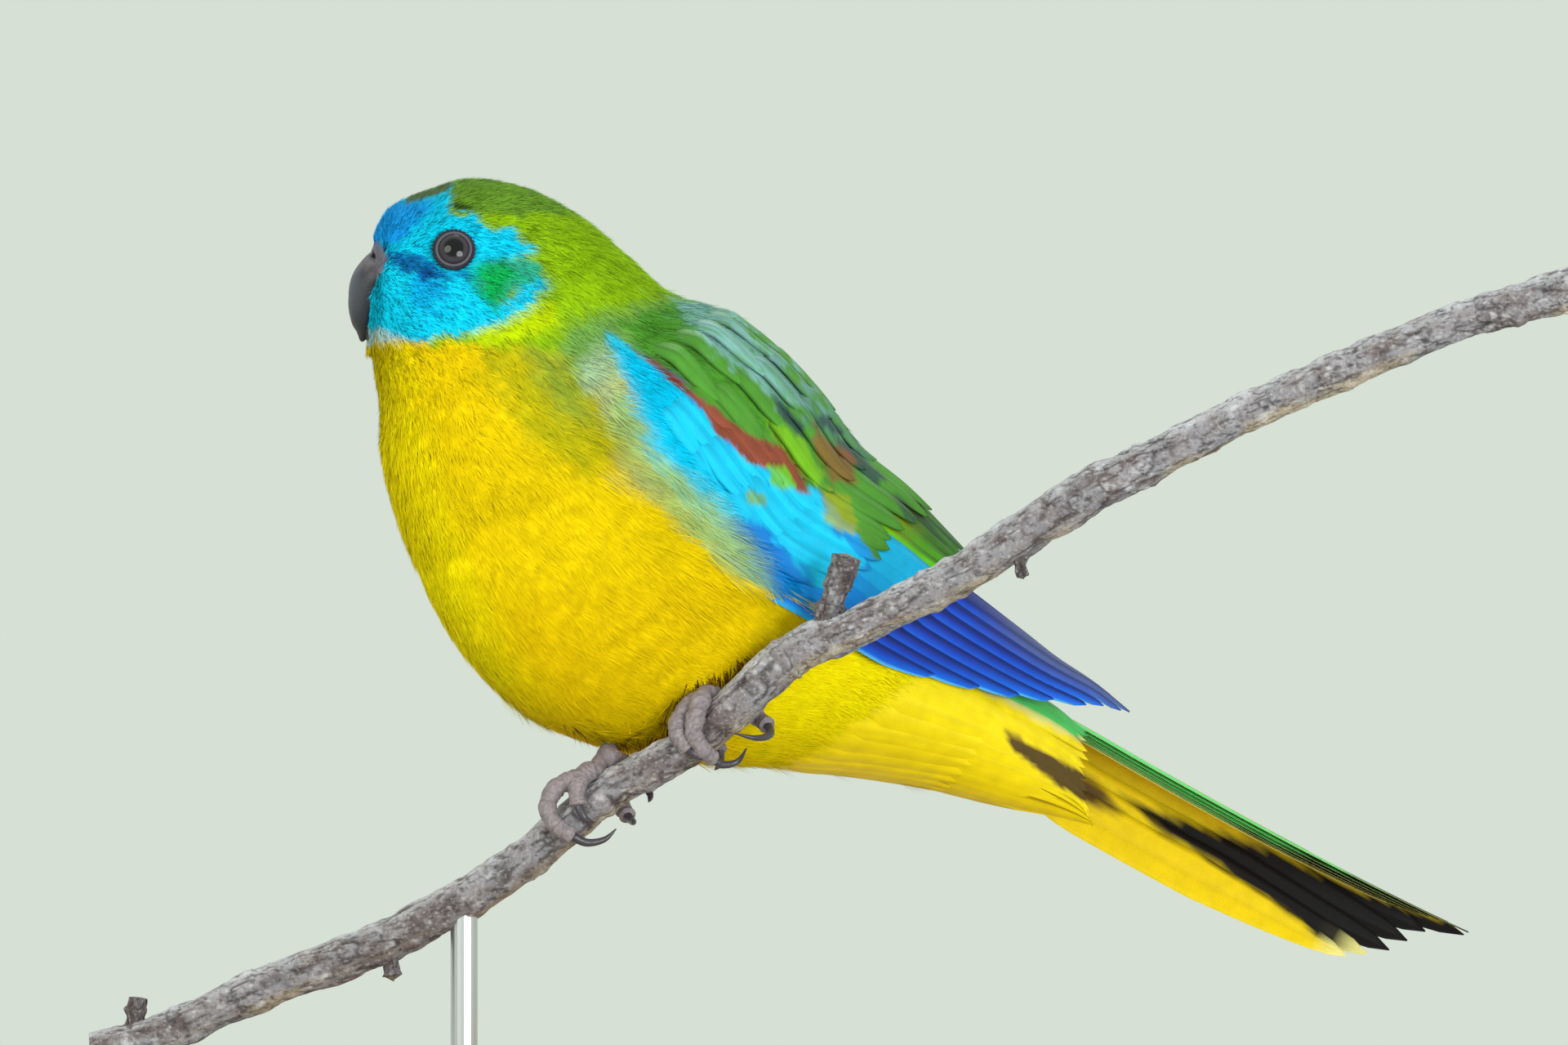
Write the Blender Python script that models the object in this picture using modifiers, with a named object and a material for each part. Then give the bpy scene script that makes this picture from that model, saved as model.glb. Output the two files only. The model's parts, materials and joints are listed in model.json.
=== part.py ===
"""Life-size turquoise parrot gripping a cut length of branch on a display stand.

The bird is laid out in millimetres in the plane of the branch: X to the right,
Y away from the viewer, Z up, with (0, 0) in the middle of the view. SHIFT then
moves the finished model onto its base, centred. The bird's body is one envelope
of oval sections, which is parted into head, neck, torso and rump by thin cuts,
and the feathers of wings and tail are vanes laid on envelopes of their own.
"""

import math
import random

import bmesh
import bpy
import numpy as np

MM = 0.001
SHIFT = (-7.0, -21.8, 93.0)
GAP = 0.3
SEED = 41
VIEW_DISTANCE = 2500.0  # the layout is drawn as seen from here

# Parts of the bird, degrees: turned toward the viewer, and rolled left side up
HEAD_YAW = 5.0
BODY_YAW = 28.0
BODY_ROLL = 10.0
TAIL_YAW = 28.0
TAIL_ROLL = 27.0
BODY_ANCHOR = (11, 17.0)  # section whose centre lies this far behind the branch

# Sections of the fluffed body: back x, z; underside x, z; half width; yaw; roll
BODY_SECTIONS = (
    (-61.2, 41.6, -61.6, 26.0, 4.7, 5.0, 0.0),
    (-58.4, 46.6, -61.8, 24.6, 8.2, 5.0, 0.0),
    (-51.6, 49.7, -61.0, 23.4, 10.6, 5.0, 1.0),
    (-45.6, 51.0, -60.6, 21.3, 12.0, 5.0, 2.0),
    (-37.8, 49.6, -60.0, 18.3, 13.4, 8.0, 4.0),
    (-30.6, 45.9, -59.6, 14.6, 15.4, 12.0, 6.0),
    (-24.0, 40.7, -59.4, 9.6, 17.6, 17.0, 8.0),
    (-17.4, 34.7, -57.8, 2.7, 19.0, 22.0, 9.0),
    (-10.8, 30.2, -55.0, -5.0, 19.8, 26.0, 10.0),
    (-3.6, 24.6, -51.0, -13.9, 20.2, 28.0, 10.0),
    (2.6, 18.0, -45.6, -22.0, 20.2, 28.0, 10.0),
    (8.2, 10.4, -37.4, -29.4, 19.8, 28.0, 10.0),
    (12.4, 2.6, -26.4, -34.0, 18.8, 28.0, 10.0),
    (16.4, -4.6, -14.4, -36.0, 17.0, 28.0, 12.0),
    (21.0, -10.6, -2.4, -37.0, 16.2, 28.0, 14.0),
    (25.2, -17.0, 9.6, -37.8, 13.4, 28.0, 17.0),
    (29.6, -21.4, 19.2, -39.2, 11.2, 28.0, 20.0),
    (34.8, -23.8, 28.4, -41.6, 9.6, 28.0, 23.0),
    (40.6, -26.6, 37.6, -44.6, 8.0, 28.0, 26.0),
    (46.4, -29.8, 45.0, -47.4, 5.6, 28.0, 27.0),
)
# Sheath on which the folded wings lie: as the body up to WING_SPLIT, then its own
WING_SPLIT = 11
WING_SECTIONS = (
    (15.2, 4.4, -23.0, -34.2, 19.2, 28.0, 10.0),
    (20.8, -1.4, -13.0, -36.6, 17.8, 28.0, 10.0),
    (26.6, -7.6, -1.0, -37.8, 15.8, 28.0, 10.0),
    (32.2, -13.4, 11.0, -38.4, 13.6, 28.0, 10.0),
    (38.0, -18.8, 23.0, -39.0, 11.4, 28.0, 10.0),
    (43.6, -23.2, 34.0, -40.6, 10.4, 28.0, 10.0),
    (49.4, -28.4, 43.6, -43.0, 8.0, 28.0, 10.0),
    (55.4, -33.6, 52.0, -45.6, 6.4, 28.0, 10.0),
)
RING_SIDES = 25
RINGS_PER_SECTION = 2
HEAD_CUT = 4.6
NECK_CUT = 7.4
RUMP_CUT = 14.3

# Head
EYE_AT = (-48.6, 40.1)
EYE_RADIUS = 3.1
EYE_DEPTH = 1.9
LID_RADIUS = 2.6
LID_THICK = 0.5
# Upper bill along its middle: x, z, half depth, half width
BILL_UPPER = (
    (-52.5, 36.2, 3.4, 3.4),
    (-57.0, 37.0, 4.1, 4.4),
    (-60.1, 35.3, 3.5, 4.3),
    (-61.4, 32.4, 2.7, 3.8),
    (-61.8, 29.8, 1.9, 2.9),
    (-61.8, 28.1, 1.1, 1.8),
    (-62.0, 26.7, 0.35, 0.5),
)
BILL_LOWER = (
    (-52.0, 27.6, 2.0, 3.0),
    (-57.0, 27.4, 2.2, 3.4),
    (-60.2, 27.9, 1.7, 2.7),
    (-61.6, 29.0, 0.8, 1.6),
)
NOSTRIL_AT = (-60.2, 38.6)
NOSTRIL_RADIUS = 0.55

# Branch along its middle: x, z, radius. It runs from left to right
BRANCH_POINTS = (
    (-101.4, -77.4, 2.7),
    (-90.6, -74.7, 2.9),
    (-75.6, -68.0, 3.1),
    (-58.2, -61.3, 3.25),
    (-43.2, -53.1, 3.1),
    (-32.4, -45.1, 2.95),
    (-24.6, -38.7, 2.85),
    (-15.0, -33.4, 2.95),
    (-3.0, -23.1, 3.2),
    (2.4, -18.7, 3.2),
    (11.9, -14.6, 3.0),
    (27.2, -6.9, 3.1),
    (42.6, 3.2, 3.5),
    (56.4, 10.3, 3.0),
    (72.8, 18.5, 2.8),
    (86.6, 24.4, 2.95),
    (100.4, 29.9, 2.8),
    (112.0, 33.4, 3.2),
    (117.0, 34.4, 3.6),
)
BRANCH_SLANT = -0.20
BRANCH_PIVOT = -20.0
BRANCH_SIDES = 12
BRANCH_RINGS = 36
# Stubs on the branch: foot x, z; tip x, z; radius at the foot and the tip
STUBS = (
    (6.4, -16.6, 9.2, -5.0, 2.7, 2.1),
    (-95.6, -76.0, -95.0, -69.8, 2.2, 1.5),
    (34.6, -4.6, 35.2, -7.9, 1.9, 1.0),
    (-58.0, -62.5, -57.4, -66.6, 1.9, 0.9),
)

# Stand
ROD_AT = -47.0
ROD_RADIUS = 2.0
ROD_SINK = 1.6
BASE_CENTRE = (7.0, 21.8)
BASE_SIZE = (150.0, 96.0, 8.5)
BASE_TOP = -84.5
BASE_BEVEL = 1.6

# Tail: root and tip of the middle feathers in the view. Both halves slope away from a
# ridge, steeply on the left, and the ridge sinks to the tip
TAIL_ROOT = (22.0, -25.2)
TAIL_TIP = (100.2, -60.1)
TAIL_RIDGE = 9.5
TAIL_RIDGE_DIP = 2.2
TAIL_SLOPES = (50.0, 40.0)
TAIL_BEND = 3.0
TAIL_CREST = 0.6
TAIL_THICK = 0.75
TAIL_STEP = 0.42
# Pairs from the middle out: length share; how far down the left slope at the root and
# at the tip, the same on the right, where the tail spreads more; width
TAIL_PAIRS = (
    (1.00, 2.4, 0.8, 2.8, 0.6, 7.0),
    (0.94, 3.0, 1.8, 4.6, 2.6, 7.4),
    (0.92, 3.6, 2.3, 6.4, 5.0, 7.4),
    (0.90, 4.2, 2.7, 8.2, 7.4, 7.0),
    (0.87, 4.8, 3.1, 10.0, 9.4, 6.8),
    (0.84, 5.4, 3.5, 11.8, 11.0, 6.6),
)
TAIL_ROWS = 6

# Wing layers above the sheath, millimetres: middle of each layer
PRIMARY_LEVEL = 0.95
SECONDARY_LEVEL = 2.35
COVERT_LEVEL = 3.75
VANE_THICK = 0.7
VANE_TILT = 0.07
# Feather rows of one wing: count; first root s, angle; last root; first tip; last tip;
# width at first and last; the s that tips gain half way
PRIMARIES = (7, (12.0, 66.0), (12.1, 95.0), (17.75, 44.0), (14.0, 99.0), 5.6, 5.0, 0.55)
SECONDARIES = (5, (10.9, 62.0), (11.0, 96.0), (14.5, 60.0), (13.1, 99.0), 7.2, 6.4, 0.1)
TERTIALS = (3, (10.8, 32.0), (10.9, 58.0), (13.3, 18.0), (13.9, 52.0), 8.6, 8.0, 0.1)
GREATER_COVERTS = (5, (9.9, 66.0), (10.2, 94.0), (12.2, 62.0), (11.9, 98.0), 7.4, 6.4, 0.0)
SCAPULARS = (3, (8.2, 40.0), (8.6, 62.0), (11.5, 24.0), (11.5, 58.0), 9.6, 8.6, 0.0)
COVERT_SHEET = ((6.9, 42.0), (7.1, 76.0), (10.5, 95.0), (10.2, 28.0))
SECONDARY_BAR = ((10.75, 30.0), (10.75, 96.0), (11.5, 97.0), (11.5, 27.0))
PRIMARY_BAR = ((11.9, 62.0), (11.9, 95.0), (12.7, 97.0), (12.7, 60.0))

# Feet: middle of the grip on the branch, x, and where the toes spread from on it:
# along the branch, round it (0 on top, 90 in front), out from its axis
TOE_RADII = (1.15, 1.05, 0.95, 0.85)
CLAW_RADII = (0.72, 0.6, 0.42, 0.14)
FEET = {
    "left": {
        "at": -15.0,
        "hub": (7.2, -2.0, 5.4),
        "knee": (-8.0, 13.0, -20.0),
        "toes": (
            ((7.4, 14, 4.7), (5.6, 48, 4.8), (3.6, 78, 4.7), (3.3, 110, 4.6), (3.5, 140, 4.6)),
            ((6.2, 0, 4.7), (2.8, 34, 4.7), (1.4, 64, 4.6), (1.5, 94, 4.5)),
            ((7.6, -18, 4.7), (9.2, -62, 4.8), (10.8, -105, 4.8), (12.1, -150, 4.9)),
            ((6.6, -20, 4.7), (5.2, -60, 4.8), (4.3, -100, 4.8), (3.9, -132, 4.7)),
        ),
        "claws": (
            ((3.5, 143, 4.6), (4.0, 158, 5.6), (6.0, 170, 6.2), (8.3, 160, 5.6)),
            ((1.6, 98, 4.5), (2.2, 118, 4.9), (2.9, 136, 4.4)),
            ((12.2, -156, 4.9), (12.0, -182, 5.6), (10.4, -212, 5.6), (8.5, -240, 4.9)),
            ((3.9, -136, 4.7), (3.2, -154, 5.3), (2.2, -172, 5.2)),
        ),
    },
    "right": {
        "at": -32.4,
        "hub": (10.8, -6.0, 5.4),
        "knee": (-20.0, 22.0, -24.0),
        "toes": (
            ((10.4, 4, 4.7), (7.2, 18, 5.2), (3.6, 24, 6.0), (0.9, 42, 5.6), (0.2, 74, 4.9), (1.1, 108, 4.7)),
            ((9.6, 10, 4.7), (6.4, 34, 4.8), (4.7, 70, 4.6)),
            ((10.2, -20, 4.7), (9.2, -68, 4.8), (8.3, -120, 4.8), (8.4, -150, 4.8)),
            ((11.2, -16, 4.7), (12.4, -62, 4.8), (12.9, -108, 4.7)),
        ),
        "claws": (
            ((1.2, 112, 4.7), (2.2, 134, 5.3), (4.4, 150, 5.6), (6.6, 154, 5.2)),
            ((4.6, 74, 4.6), (4.3, 98, 4.9), (4.9, 116, 4.4)),
            ((8.4, -154, 4.8), (8.8, -176, 5.4), (9.3, -194, 5.0)),
            ((12.9, -112, 4.7), (12.8, -136, 5.2), (12.2, -156, 4.9)),
        ),
    },
}

COLOURS = {
    "green": (0.10, 0.33, 0.05),
    "cyan": (0.0, 0.45, 0.80),
    "yellow": (0.86, 0.60, 0.01),
    "blue": (0.01, 0.10, 0.60),
    "olive": (0.22, 0.38, 0.02),
    "horn": (0.07, 0.065, 0.075),
    "eye": (0.01, 0.01, 0.012),
    "skin": (0.28, 0.24, 0.24),
    "bark": (0.27, 0.23, 0.21),
    "wood": (0.36, 0.22, 0.12),
    "steel": (0.55, 0.56, 0.58),
    "tail": (0.50, 0.42, 0.03),
}


def axes_of(yaw, roll, pitch=0.0):
    """Front, left and up directions of a part with these angles in degrees."""
    a, r, p = math.radians(yaw), math.radians(roll), math.radians(pitch)
    level = np.array((-math.cos(a), -math.sin(a), 0.0))
    side = np.array((math.sin(a), -math.cos(a), 0.0))
    up = np.array((0.0, 0.0, 1.0))
    front = level * math.cos(p) + up * math.sin(p)
    top = up * math.cos(p) - level * math.sin(p)
    left = side * math.cos(r) + top * math.sin(r)
    rolled_top = top * math.cos(r) - side * math.sin(r)
    return front, left, rolled_top


def in_plane(front, top, x, z):
    """The vector in the plane of front and top that shows as (x, z) in the view."""
    a, b = np.linalg.solve([[top[0], front[0]], [top[2], front[2]]], (x, z))
    return a * top + b * front


def spline(values, s):
    """Catmull-Rom curve through values, one for each whole s, at every s given."""
    values = np.asarray(values, dtype=float)
    s = np.clip(np.asarray(s, dtype=float), 0.0, len(values) - 1.0)
    i = np.minimum(s.astype(int), len(values) - 2)
    t = (s - i)[..., None]
    before = values[np.maximum(i - 1, 0)]
    here = values[i]
    there = values[i + 1]
    after = values[np.minimum(i + 2, len(values) - 1)]
    m0 = (there - before) / 2
    m1 = (after - here) / 2
    return (
        (2 * t**3 - 3 * t**2 + 1) * here
        + (t**3 - 2 * t**2 + t) * m0
        + (3 * t**2 - 2 * t**3) * there
        + (t**3 - t**2) * m1
    )


class Envelope:
    """Oval sections along a spine, with a smooth surface through them."""

    def __init__(self, sections, anchor):
        middles, backs, sides = [], [], []
        frames = [axes_of(yaw, roll) for *_, yaw, roll in sections]
        flat = []
        for (bx, bz, ux, uz, width, _, _), (front, left, top) in zip(sections, frames):
            chord = np.array((bx - ux, bz - uz)) / 2
            half = np.linalg.norm(chord)
            side = left * width
            along = np.dot((side[0], side[2]), chord / half)
            share = math.sqrt(max(half**2 - along**2, 0.25 * half**2)) / half
            backs.append(in_plane(front, top, *(chord * share)))
            sides.append(side)
            flat.append(((bx + ux) / 2, (bz + uz) / 2))
        depth = [0.0]
        for i in range(1, len(sections)):
            front = frames[i - 1][0] + frames[i][0]
            left, top = frames[i][1], frames[i][2]
            step = in_plane(front, top, flat[i][0] - flat[i - 1][0], flat[i][1] - flat[i - 1][1])
            depth.append(depth[-1] + step[1])
        index, at = anchor
        for i, (x, z) in enumerate(flat):
            middles.append((x, depth[i] - depth[index] + at, z))
        self.middle = np.array(middles)
        self.back = np.array(backs)
        self.side = np.array(sides)
        self.count = len(sections)

    def at(self, s, angle):
        """Points at s along the spine and angle round it: 0 back, +90 the left."""
        s, angle = np.broadcast_arrays(np.asarray(s, float), np.asarray(angle, float))
        turn = np.radians(angle)[..., None]
        return (
            spline(self.middle, s)
            + np.cos(turn) * spline(self.back, s)
            + np.sin(turn) * spline(self.side, s)
        )

    def normal(self, s, angle):
        """Outward unit normals at the same places."""
        along = self.at(np.asarray(s) + 0.05, angle) - self.at(np.asarray(s) - 0.05, angle)
        around = self.at(s, np.asarray(angle) + 1.0) - self.at(s, np.asarray(angle) - 1.0)
        across = np.cross(around, along)
        return across / np.linalg.norm(across, axis=-1, keepdims=True)

    def raised(self, s, angle, height):
        """Points that height above the surface."""
        return self.at(s, angle) + self.normal(s, angle) * np.asarray(height)[..., None]

    def slab(self, s):
        """Centre and unit normal of the plane of one section."""
        across = np.cross(spline(self.side, s), spline(self.back, s))
        return spline(self.middle, s), across / np.linalg.norm(across)


def material(name):
    """The plain material of that colour name, made once."""
    found = bpy.data.materials.get(name)
    if found:
        return found
    made = bpy.data.materials.new(name)
    made.use_nodes = True
    shader = made.node_tree.nodes["Principled BSDF"]
    shader.inputs["Base Color"].default_value = (*COLOURS[name], 1.0)
    shader.inputs["Roughness"].default_value = 0.3 if name in ("eye", "steel") else 0.7
    shader.inputs["Metallic"].default_value = 1.0 if name == "steel" else 0.0
    made.diffuse_color = (*COLOURS[name], 1.0)
    return made


def seen(points):
    """Points spread with their depth, so that the view shows them as laid out."""
    points = np.asarray(points, dtype=float)
    spread = 1.0 + points[..., 1:2] / VIEW_DISTANCE
    return points * np.concatenate((spread, np.ones_like(spread), spread), axis=-1)


def to_object(points, faces, name, collection):
    """A mesh object from millimetre points and faces, with outward normals."""
    mesh = bpy.data.meshes.new(name)
    moved = (seen(points) + SHIFT) * MM
    mesh.from_pydata(moved.tolist(), [], faces)
    work = bmesh.new()
    work.from_mesh(mesh)
    bmesh.ops.recalc_face_normals(work, faces=work.faces)
    work.to_mesh(mesh)
    work.free()
    made = bpy.data.objects.new(name, mesh)
    collection.objects.link(made)
    return made


def loft_faces(rings, sides):
    """Faces of a closed loft whose first and last points are its poles."""
    faces = []
    for j in range(sides):
        faces.append((0, 1 + (j + 1) % sides, 1 + j))
    for i in range(rings - 1):
        a, b = 1 + i * sides, 1 + (i + 1) * sides
        for j in range(sides):
            k = (j + 1) % sides
            faces.append((a + j, a + k, b + k))
            faces.append((a + j, b + k, b + j))
    last = 1 + rings * sides
    a = 1 + (rings - 1) * sides
    for j in range(sides):
        faces.append((last, a + j, a + (j + 1) % sides))
    return faces


def tube(points, radii, name, collection, sides=10, squash=None, dome=0.45):
    """A closed tube through points with a radius at each, and domed ends."""
    points = np.asarray(points, dtype=float)
    radii = np.asarray(radii, dtype=float)
    tangents = np.gradient(points, axis=0)
    tangents /= np.linalg.norm(tangents, axis=1, keepdims=True)
    guide = np.array((0.0, 1.0, 0.0))
    if abs(tangents[:, 1]).max() > 0.9:
        guide = np.array((0.31, 0.0, 0.95))
    rows = []
    for i, (point, tangent) in enumerate(zip(points, tangents)):
        first = np.cross(tangent, guide)
        first /= np.linalg.norm(first)
        second = np.cross(tangent, first)
        wide = 1.0 if squash is None else squash
        for j in range(sides):
            turn = 2 * math.pi * j / sides
            out = first * math.cos(turn) + second * math.sin(turn) * wide
            rows.append(point + out * radii[i])
    start = points[0] - tangents[0] * radii[0] * dome
    end = points[-1] + tangents[-1] * radii[-1] * dome
    vertices = np.vstack((start, rows, end))
    return to_object(vertices, loft_faces(len(points), sides), name, collection)


def ball(centre, radius, name, collection, segments=14, rings=8):
    """A sphere of that radius in millimetres."""
    mesh = bpy.data.meshes.new(name)
    work = bmesh.new()
    bmesh.ops.create_uvsphere(work, u_segments=segments, v_segments=rings, radius=radius * MM)
    work.to_mesh(mesh)
    work.free()
    made = bpy.data.objects.new(name, mesh)
    place = (seen(centre) + SHIFT) * MM
    for vertex in mesh.vertices:
        vertex.co = [vertex.co[k] + place[k] for k in range(3)]
    collection.objects.link(made)
    return made


def apply_all(target):
    """Replaces a mesh by what its modifiers make of it."""
    graph = bpy.context.evaluated_depsgraph_get()
    graph.update()
    made = bpy.data.meshes.new_from_object(target.evaluated_get(graph))
    target.modifiers.clear()
    target.data = made


def keep_largest(target):
    """Removes all but the largest closed surface of a mesh."""
    work = bmesh.new()
    work.from_mesh(target.data)
    left = set(work.verts)
    groups = []
    while left:
        stack = [left.pop()]
        group = set(stack)
        while stack:
            vertex = stack.pop()
            for edge in vertex.link_edges:
                other = edge.other_vert(vertex)
                if other in left:
                    left.remove(other)
                    group.add(other)
                    stack.append(other)
        groups.append(group)
    groups.sort(key=len, reverse=True)
    spare = [vertex for group in groups[1:] for vertex in group]
    bmesh.ops.delete(work, geom=spare, context="VERTS")
    work.to_mesh(target.data)
    work.free()


def combine(target, others, kind, solver="MANIFOLD"):
    """Unites or carves target with the objects, and removes them."""
    group = bpy.data.collections.new("operands")
    bpy.context.scene.collection.children.link(group)
    for other in others:
        for holder in list(other.users_collection):
            holder.objects.unlink(other)
        group.objects.link(other)
    step = target.modifiers.new(kind.lower(), "BOOLEAN")
    step.operation = kind
    step.solver = solver
    step.operand_type = "COLLECTION"
    step.collection = group
    apply_all(target)
    for other in list(group.objects):
        bpy.data.objects.remove(other)
    bpy.data.collections.remove(group)
    keep_largest(target)


def part_by_plane(target, centre, normal, inner):
    """Keeps the side of a plane away from its normal, or toward it, capped."""
    work = bmesh.new()
    work.from_mesh(target.data)
    place = (seen(centre) + SHIFT) * MM
    geometry = work.verts[:] + work.edges[:] + work.faces[:]
    cut = bmesh.ops.bisect_plane(
        work,
        geom=geometry,
        plane_co=place.tolist(),
        plane_no=np.asarray(normal).tolist(),
        clear_inner=inner,
        clear_outer=not inner,
    )
    edges = [e for e in cut["geom_cut"] if isinstance(e, bmesh.types.BMEdge)]
    filled = bmesh.ops.holes_fill(work, edges=edges)
    bmesh.ops.triangulate(work, faces=filled["faces"])
    bmesh.ops.recalc_face_normals(work, faces=work.faces)
    work.to_mesh(target.data)
    work.free()


def finish(target, colour):
    """Gives a node its material and its shading."""
    target.data.materials.clear()
    target.data.materials.append(material(colour))
    for face in target.data.polygons:
        face.material_index = 0
        face.use_smooth = True
    target.data.update()


def body_solid(body, first, last, name, collection):
    """The envelope between two sections as one closed loft."""
    count = int(round((last - first) * RINGS_PER_SECTION)) + 1
    steps = np.linspace(first, last, count)
    angles = np.arange(RING_SIDES) * 360.0 / RING_SIDES
    grid = body.at(steps[:, None], angles[None, :])
    start, end = spline(body.middle, steps[0]), spline(body.middle, steps[-1])
    start = start + (start - spline(body.middle, steps[1])) * 0.35
    end = end + (end - spline(body.middle, steps[-2])) * 0.35
    vertices = np.vstack((start, grid.reshape(-1, 3), end))
    return to_object(vertices, loft_faces(count, RING_SIDES), name, collection)


def vane(envelope, root, tip, width, level, name, collection, rows=4, side=1.0,
         blunt=0.55, tilt=VANE_TILT):
    """A feather blade on an envelope from root (s, angle) to tip (s, angle)."""
    share = np.linspace(0.0, 1.0, rows)
    s = root[0] + (tip[0] - root[0]) * share
    angle = (root[1] + (tip[1] - root[1]) * share) * side
    middle = envelope.raised(s, angle, np.full(rows, level))
    normal = envelope.normal(s, angle)
    tangent = np.gradient(middle, axis=0)
    tangent /= np.linalg.norm(tangent, axis=1, keepdims=True)
    across = np.cross(normal, tangent)
    across /= np.linalg.norm(across, axis=1, keepdims=True)
    across = across + normal * tilt * side
    half = np.array([blade_width(f, blunt) for f in share]) * width / 2
    return blade(middle, across, normal, half, VANE_THICK, 0.1, name, collection)


def feather_row(envelope, row, level, name, collection, side):
    """The vanes of one row, evenly spread between its first and last."""
    count, root0, root1, tip0, tip1, wide0, wide1, bulge = row
    made = []
    for i in range(count):
        f = i / (count - 1)
        root = [root0[k] + (root1[k] - root0[k]) * f for k in range(2)]
        tip = [tip0[k] + (tip1[k] - tip0[k]) * f for k in range(2)]
        tip[0] += bulge * math.sin(math.pi * f)
        tip[1] += 14.0 * bulge * math.sin(math.pi * f)
        width = wide0 + (wide1 - wide0) * f
        made.append(vane(envelope, root, tip, width, level, name, collection, side=side))
    return made


def blade_width(share, blunt):
    """Width of a feather along its length, as a share of the widest."""
    if share < 0.25:
        return 0.62 + 1.52 * share
    if share > 1.0 - 0.36:
        left = (1.0 - share) / 0.36
        return max(left ** blunt, 0.10)
    return 1.0


def blade(middle, across, normal, half, thick, camber, name, collection):
    """A closed thin blade with the same triangles on both faces."""
    rows = len(middle)
    columns = (-1.0, 0.0, 1.0)
    top, under = [], []
    for i in range(rows):
        fade = 1.0 if i < rows - 1 else 0.6
        for c in columns:
            place = middle[i] + across[i] * half[i] * c
            place = place - normal[i] * camber * half[i] * 0.25 * c * c
            rim = 0.34 if c else 0.5
            top.append(place + normal[i] * thick * rim * fade)
            under.append(place - normal[i] * thick * rim * fade)
    count = rows * 3
    faces = []
    for i in range(rows - 1):
        for c in range(2):
            a, b = i * 3 + c, i * 3 + c + 1
            d, e = a + 3, b + 3
            faces.append((a, b, e))
            faces.append((a, e, d))
            faces.append((count + a, count + e, count + b))
            faces.append((count + a, count + d, count + e))
        for c in (0, 2):
            a, d = i * 3 + c, i * 3 + 3 + c
            faces.append((a, d, count + d))
            faces.append((a, count + d, count + a))
    for i in (0, rows - 1):
        for c in range(2):
            a, b = i * 3 + c, i * 3 + c + 1
            faces.append((a, b, count + b))
            faces.append((a, count + b, count + a))
    return to_object(np.array(top + under), faces, name, collection)


def sheet(envelope, corners, heights, name, collection, side=1.0, rows=6, columns=6):
    """A curved slab on an envelope between two lines of (s, angle)."""
    (s0, a0), (s1, a1), (s2, a2), (s3, a3) = corners
    u = np.linspace(0.0, 1.0, rows)[:, None]
    v = np.linspace(0.0, 1.0, columns)[None, :]
    s = (s0 * (1 - v) + s1 * v) * (1 - u) + (s3 * (1 - v) + s2 * v) * u
    a = (a0 * (1 - v) + a1 * v) * (1 - u) + (a3 * (1 - v) + a2 * v) * u
    a = a * side
    rise = heights[1] + (heights[2] - heights[1]) * u * np.ones_like(v)
    low = envelope.raised(s, a, np.full(s.shape, heights[0])).reshape(-1, 3)
    high = envelope.raised(s, a, rise).reshape(-1, 3)
    count = rows * columns
    faces = []
    for i in range(rows - 1):
        for j in range(columns - 1):
            a, b = i * columns + j, i * columns + j + 1
            d, e = a + columns, b + columns
            faces.append((a, b, e))
            faces.append((a, e, d))
            faces.append((count + a, count + e, count + b))
            faces.append((count + a, count + d, count + e))
    rim = [j for j in range(columns)]
    rim += [i * columns + columns - 1 for i in range(1, rows)]
    rim += [(rows - 1) * columns + j for j in range(columns - 2, -1, -1)]
    rim += [i * columns for i in range(rows - 2, 0, -1)]
    for k, a in enumerate(rim):
        b = rim[(k + 1) % len(rim)]
        faces.append((a, b, count + b))
        faces.append((a, count + b, count + a))
    return to_object(np.vstack((low, high)), faces, name, collection)


def branch_line():
    """Middle points, radii and unit directions of the branch."""
    rows = np.array(BRANCH_POINTS)
    steps = np.linspace(0, len(rows) - 1, BRANCH_RINGS)
    flat = spline(rows, steps)
    depth = BRANCH_SLANT * (flat[:, 0] - BRANCH_PIVOT)
    points = np.column_stack((flat[:, 0], depth, flat[:, 1]))
    draw = random.Random(SEED)
    radii = flat[:, 2] * np.array([1.0 + draw.uniform(-0.05, 0.06) for _ in steps])
    return points, radii


def branch_tube(extra, name, collection):
    """The branch as a closed tube, fattened by extra."""
    points, radii = branch_line()
    return tube(points, radii + extra, name, collection, sides=BRANCH_SIDES, dome=0.25)


def build_branch(collection):
    """The perch with its stubs, drilled for the rod."""
    perch = branch_tube(0.0, "perch_branch", collection)
    stubs = []
    for i, (fx, fz, tx, tz, wide, thin) in enumerate(STUBS):
        share = np.linspace(0.0, 1.0, 5)[:, None]
        foot = np.array((fx, BRANCH_SLANT * (fx - BRANCH_PIVOT), fz))
        tip = np.array((tx, BRANCH_SLANT * (tx - BRANCH_PIVOT) - 0.4, tz))
        line = foot + (tip - foot) * share
        radii = wide + (thin - wide) * share[:, 0] + 0.18 * np.sin(share[:, 0] * 9 + i)
        stubs.append(tube(line, radii, "stub", collection, sides=8, dome=0.12))
    combine(perch, stubs, "UNION")
    hole = tube(rod_line(GAP), [ROD_RADIUS + GAP] * 2, "hole", collection, sides=24, dome=0.0)
    combine(perch, [hole], "DIFFERENCE")
    finish(perch, "bark")
    return perch


def rod_line(extra):
    """Both ends of the rod, the top one raised by extra."""
    rows = np.array(BRANCH_POINTS)
    z = np.interp(ROD_AT, rows[:, 0], rows[:, 1])
    y = BRANCH_SLANT * (ROD_AT - BRANCH_PIVOT)
    top = z - 3.1 + ROD_SINK + extra
    return np.array(((ROD_AT, y, BASE_TOP + GAP - (5.0 if extra else 0.0)), (ROD_AT, y, top)))


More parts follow.
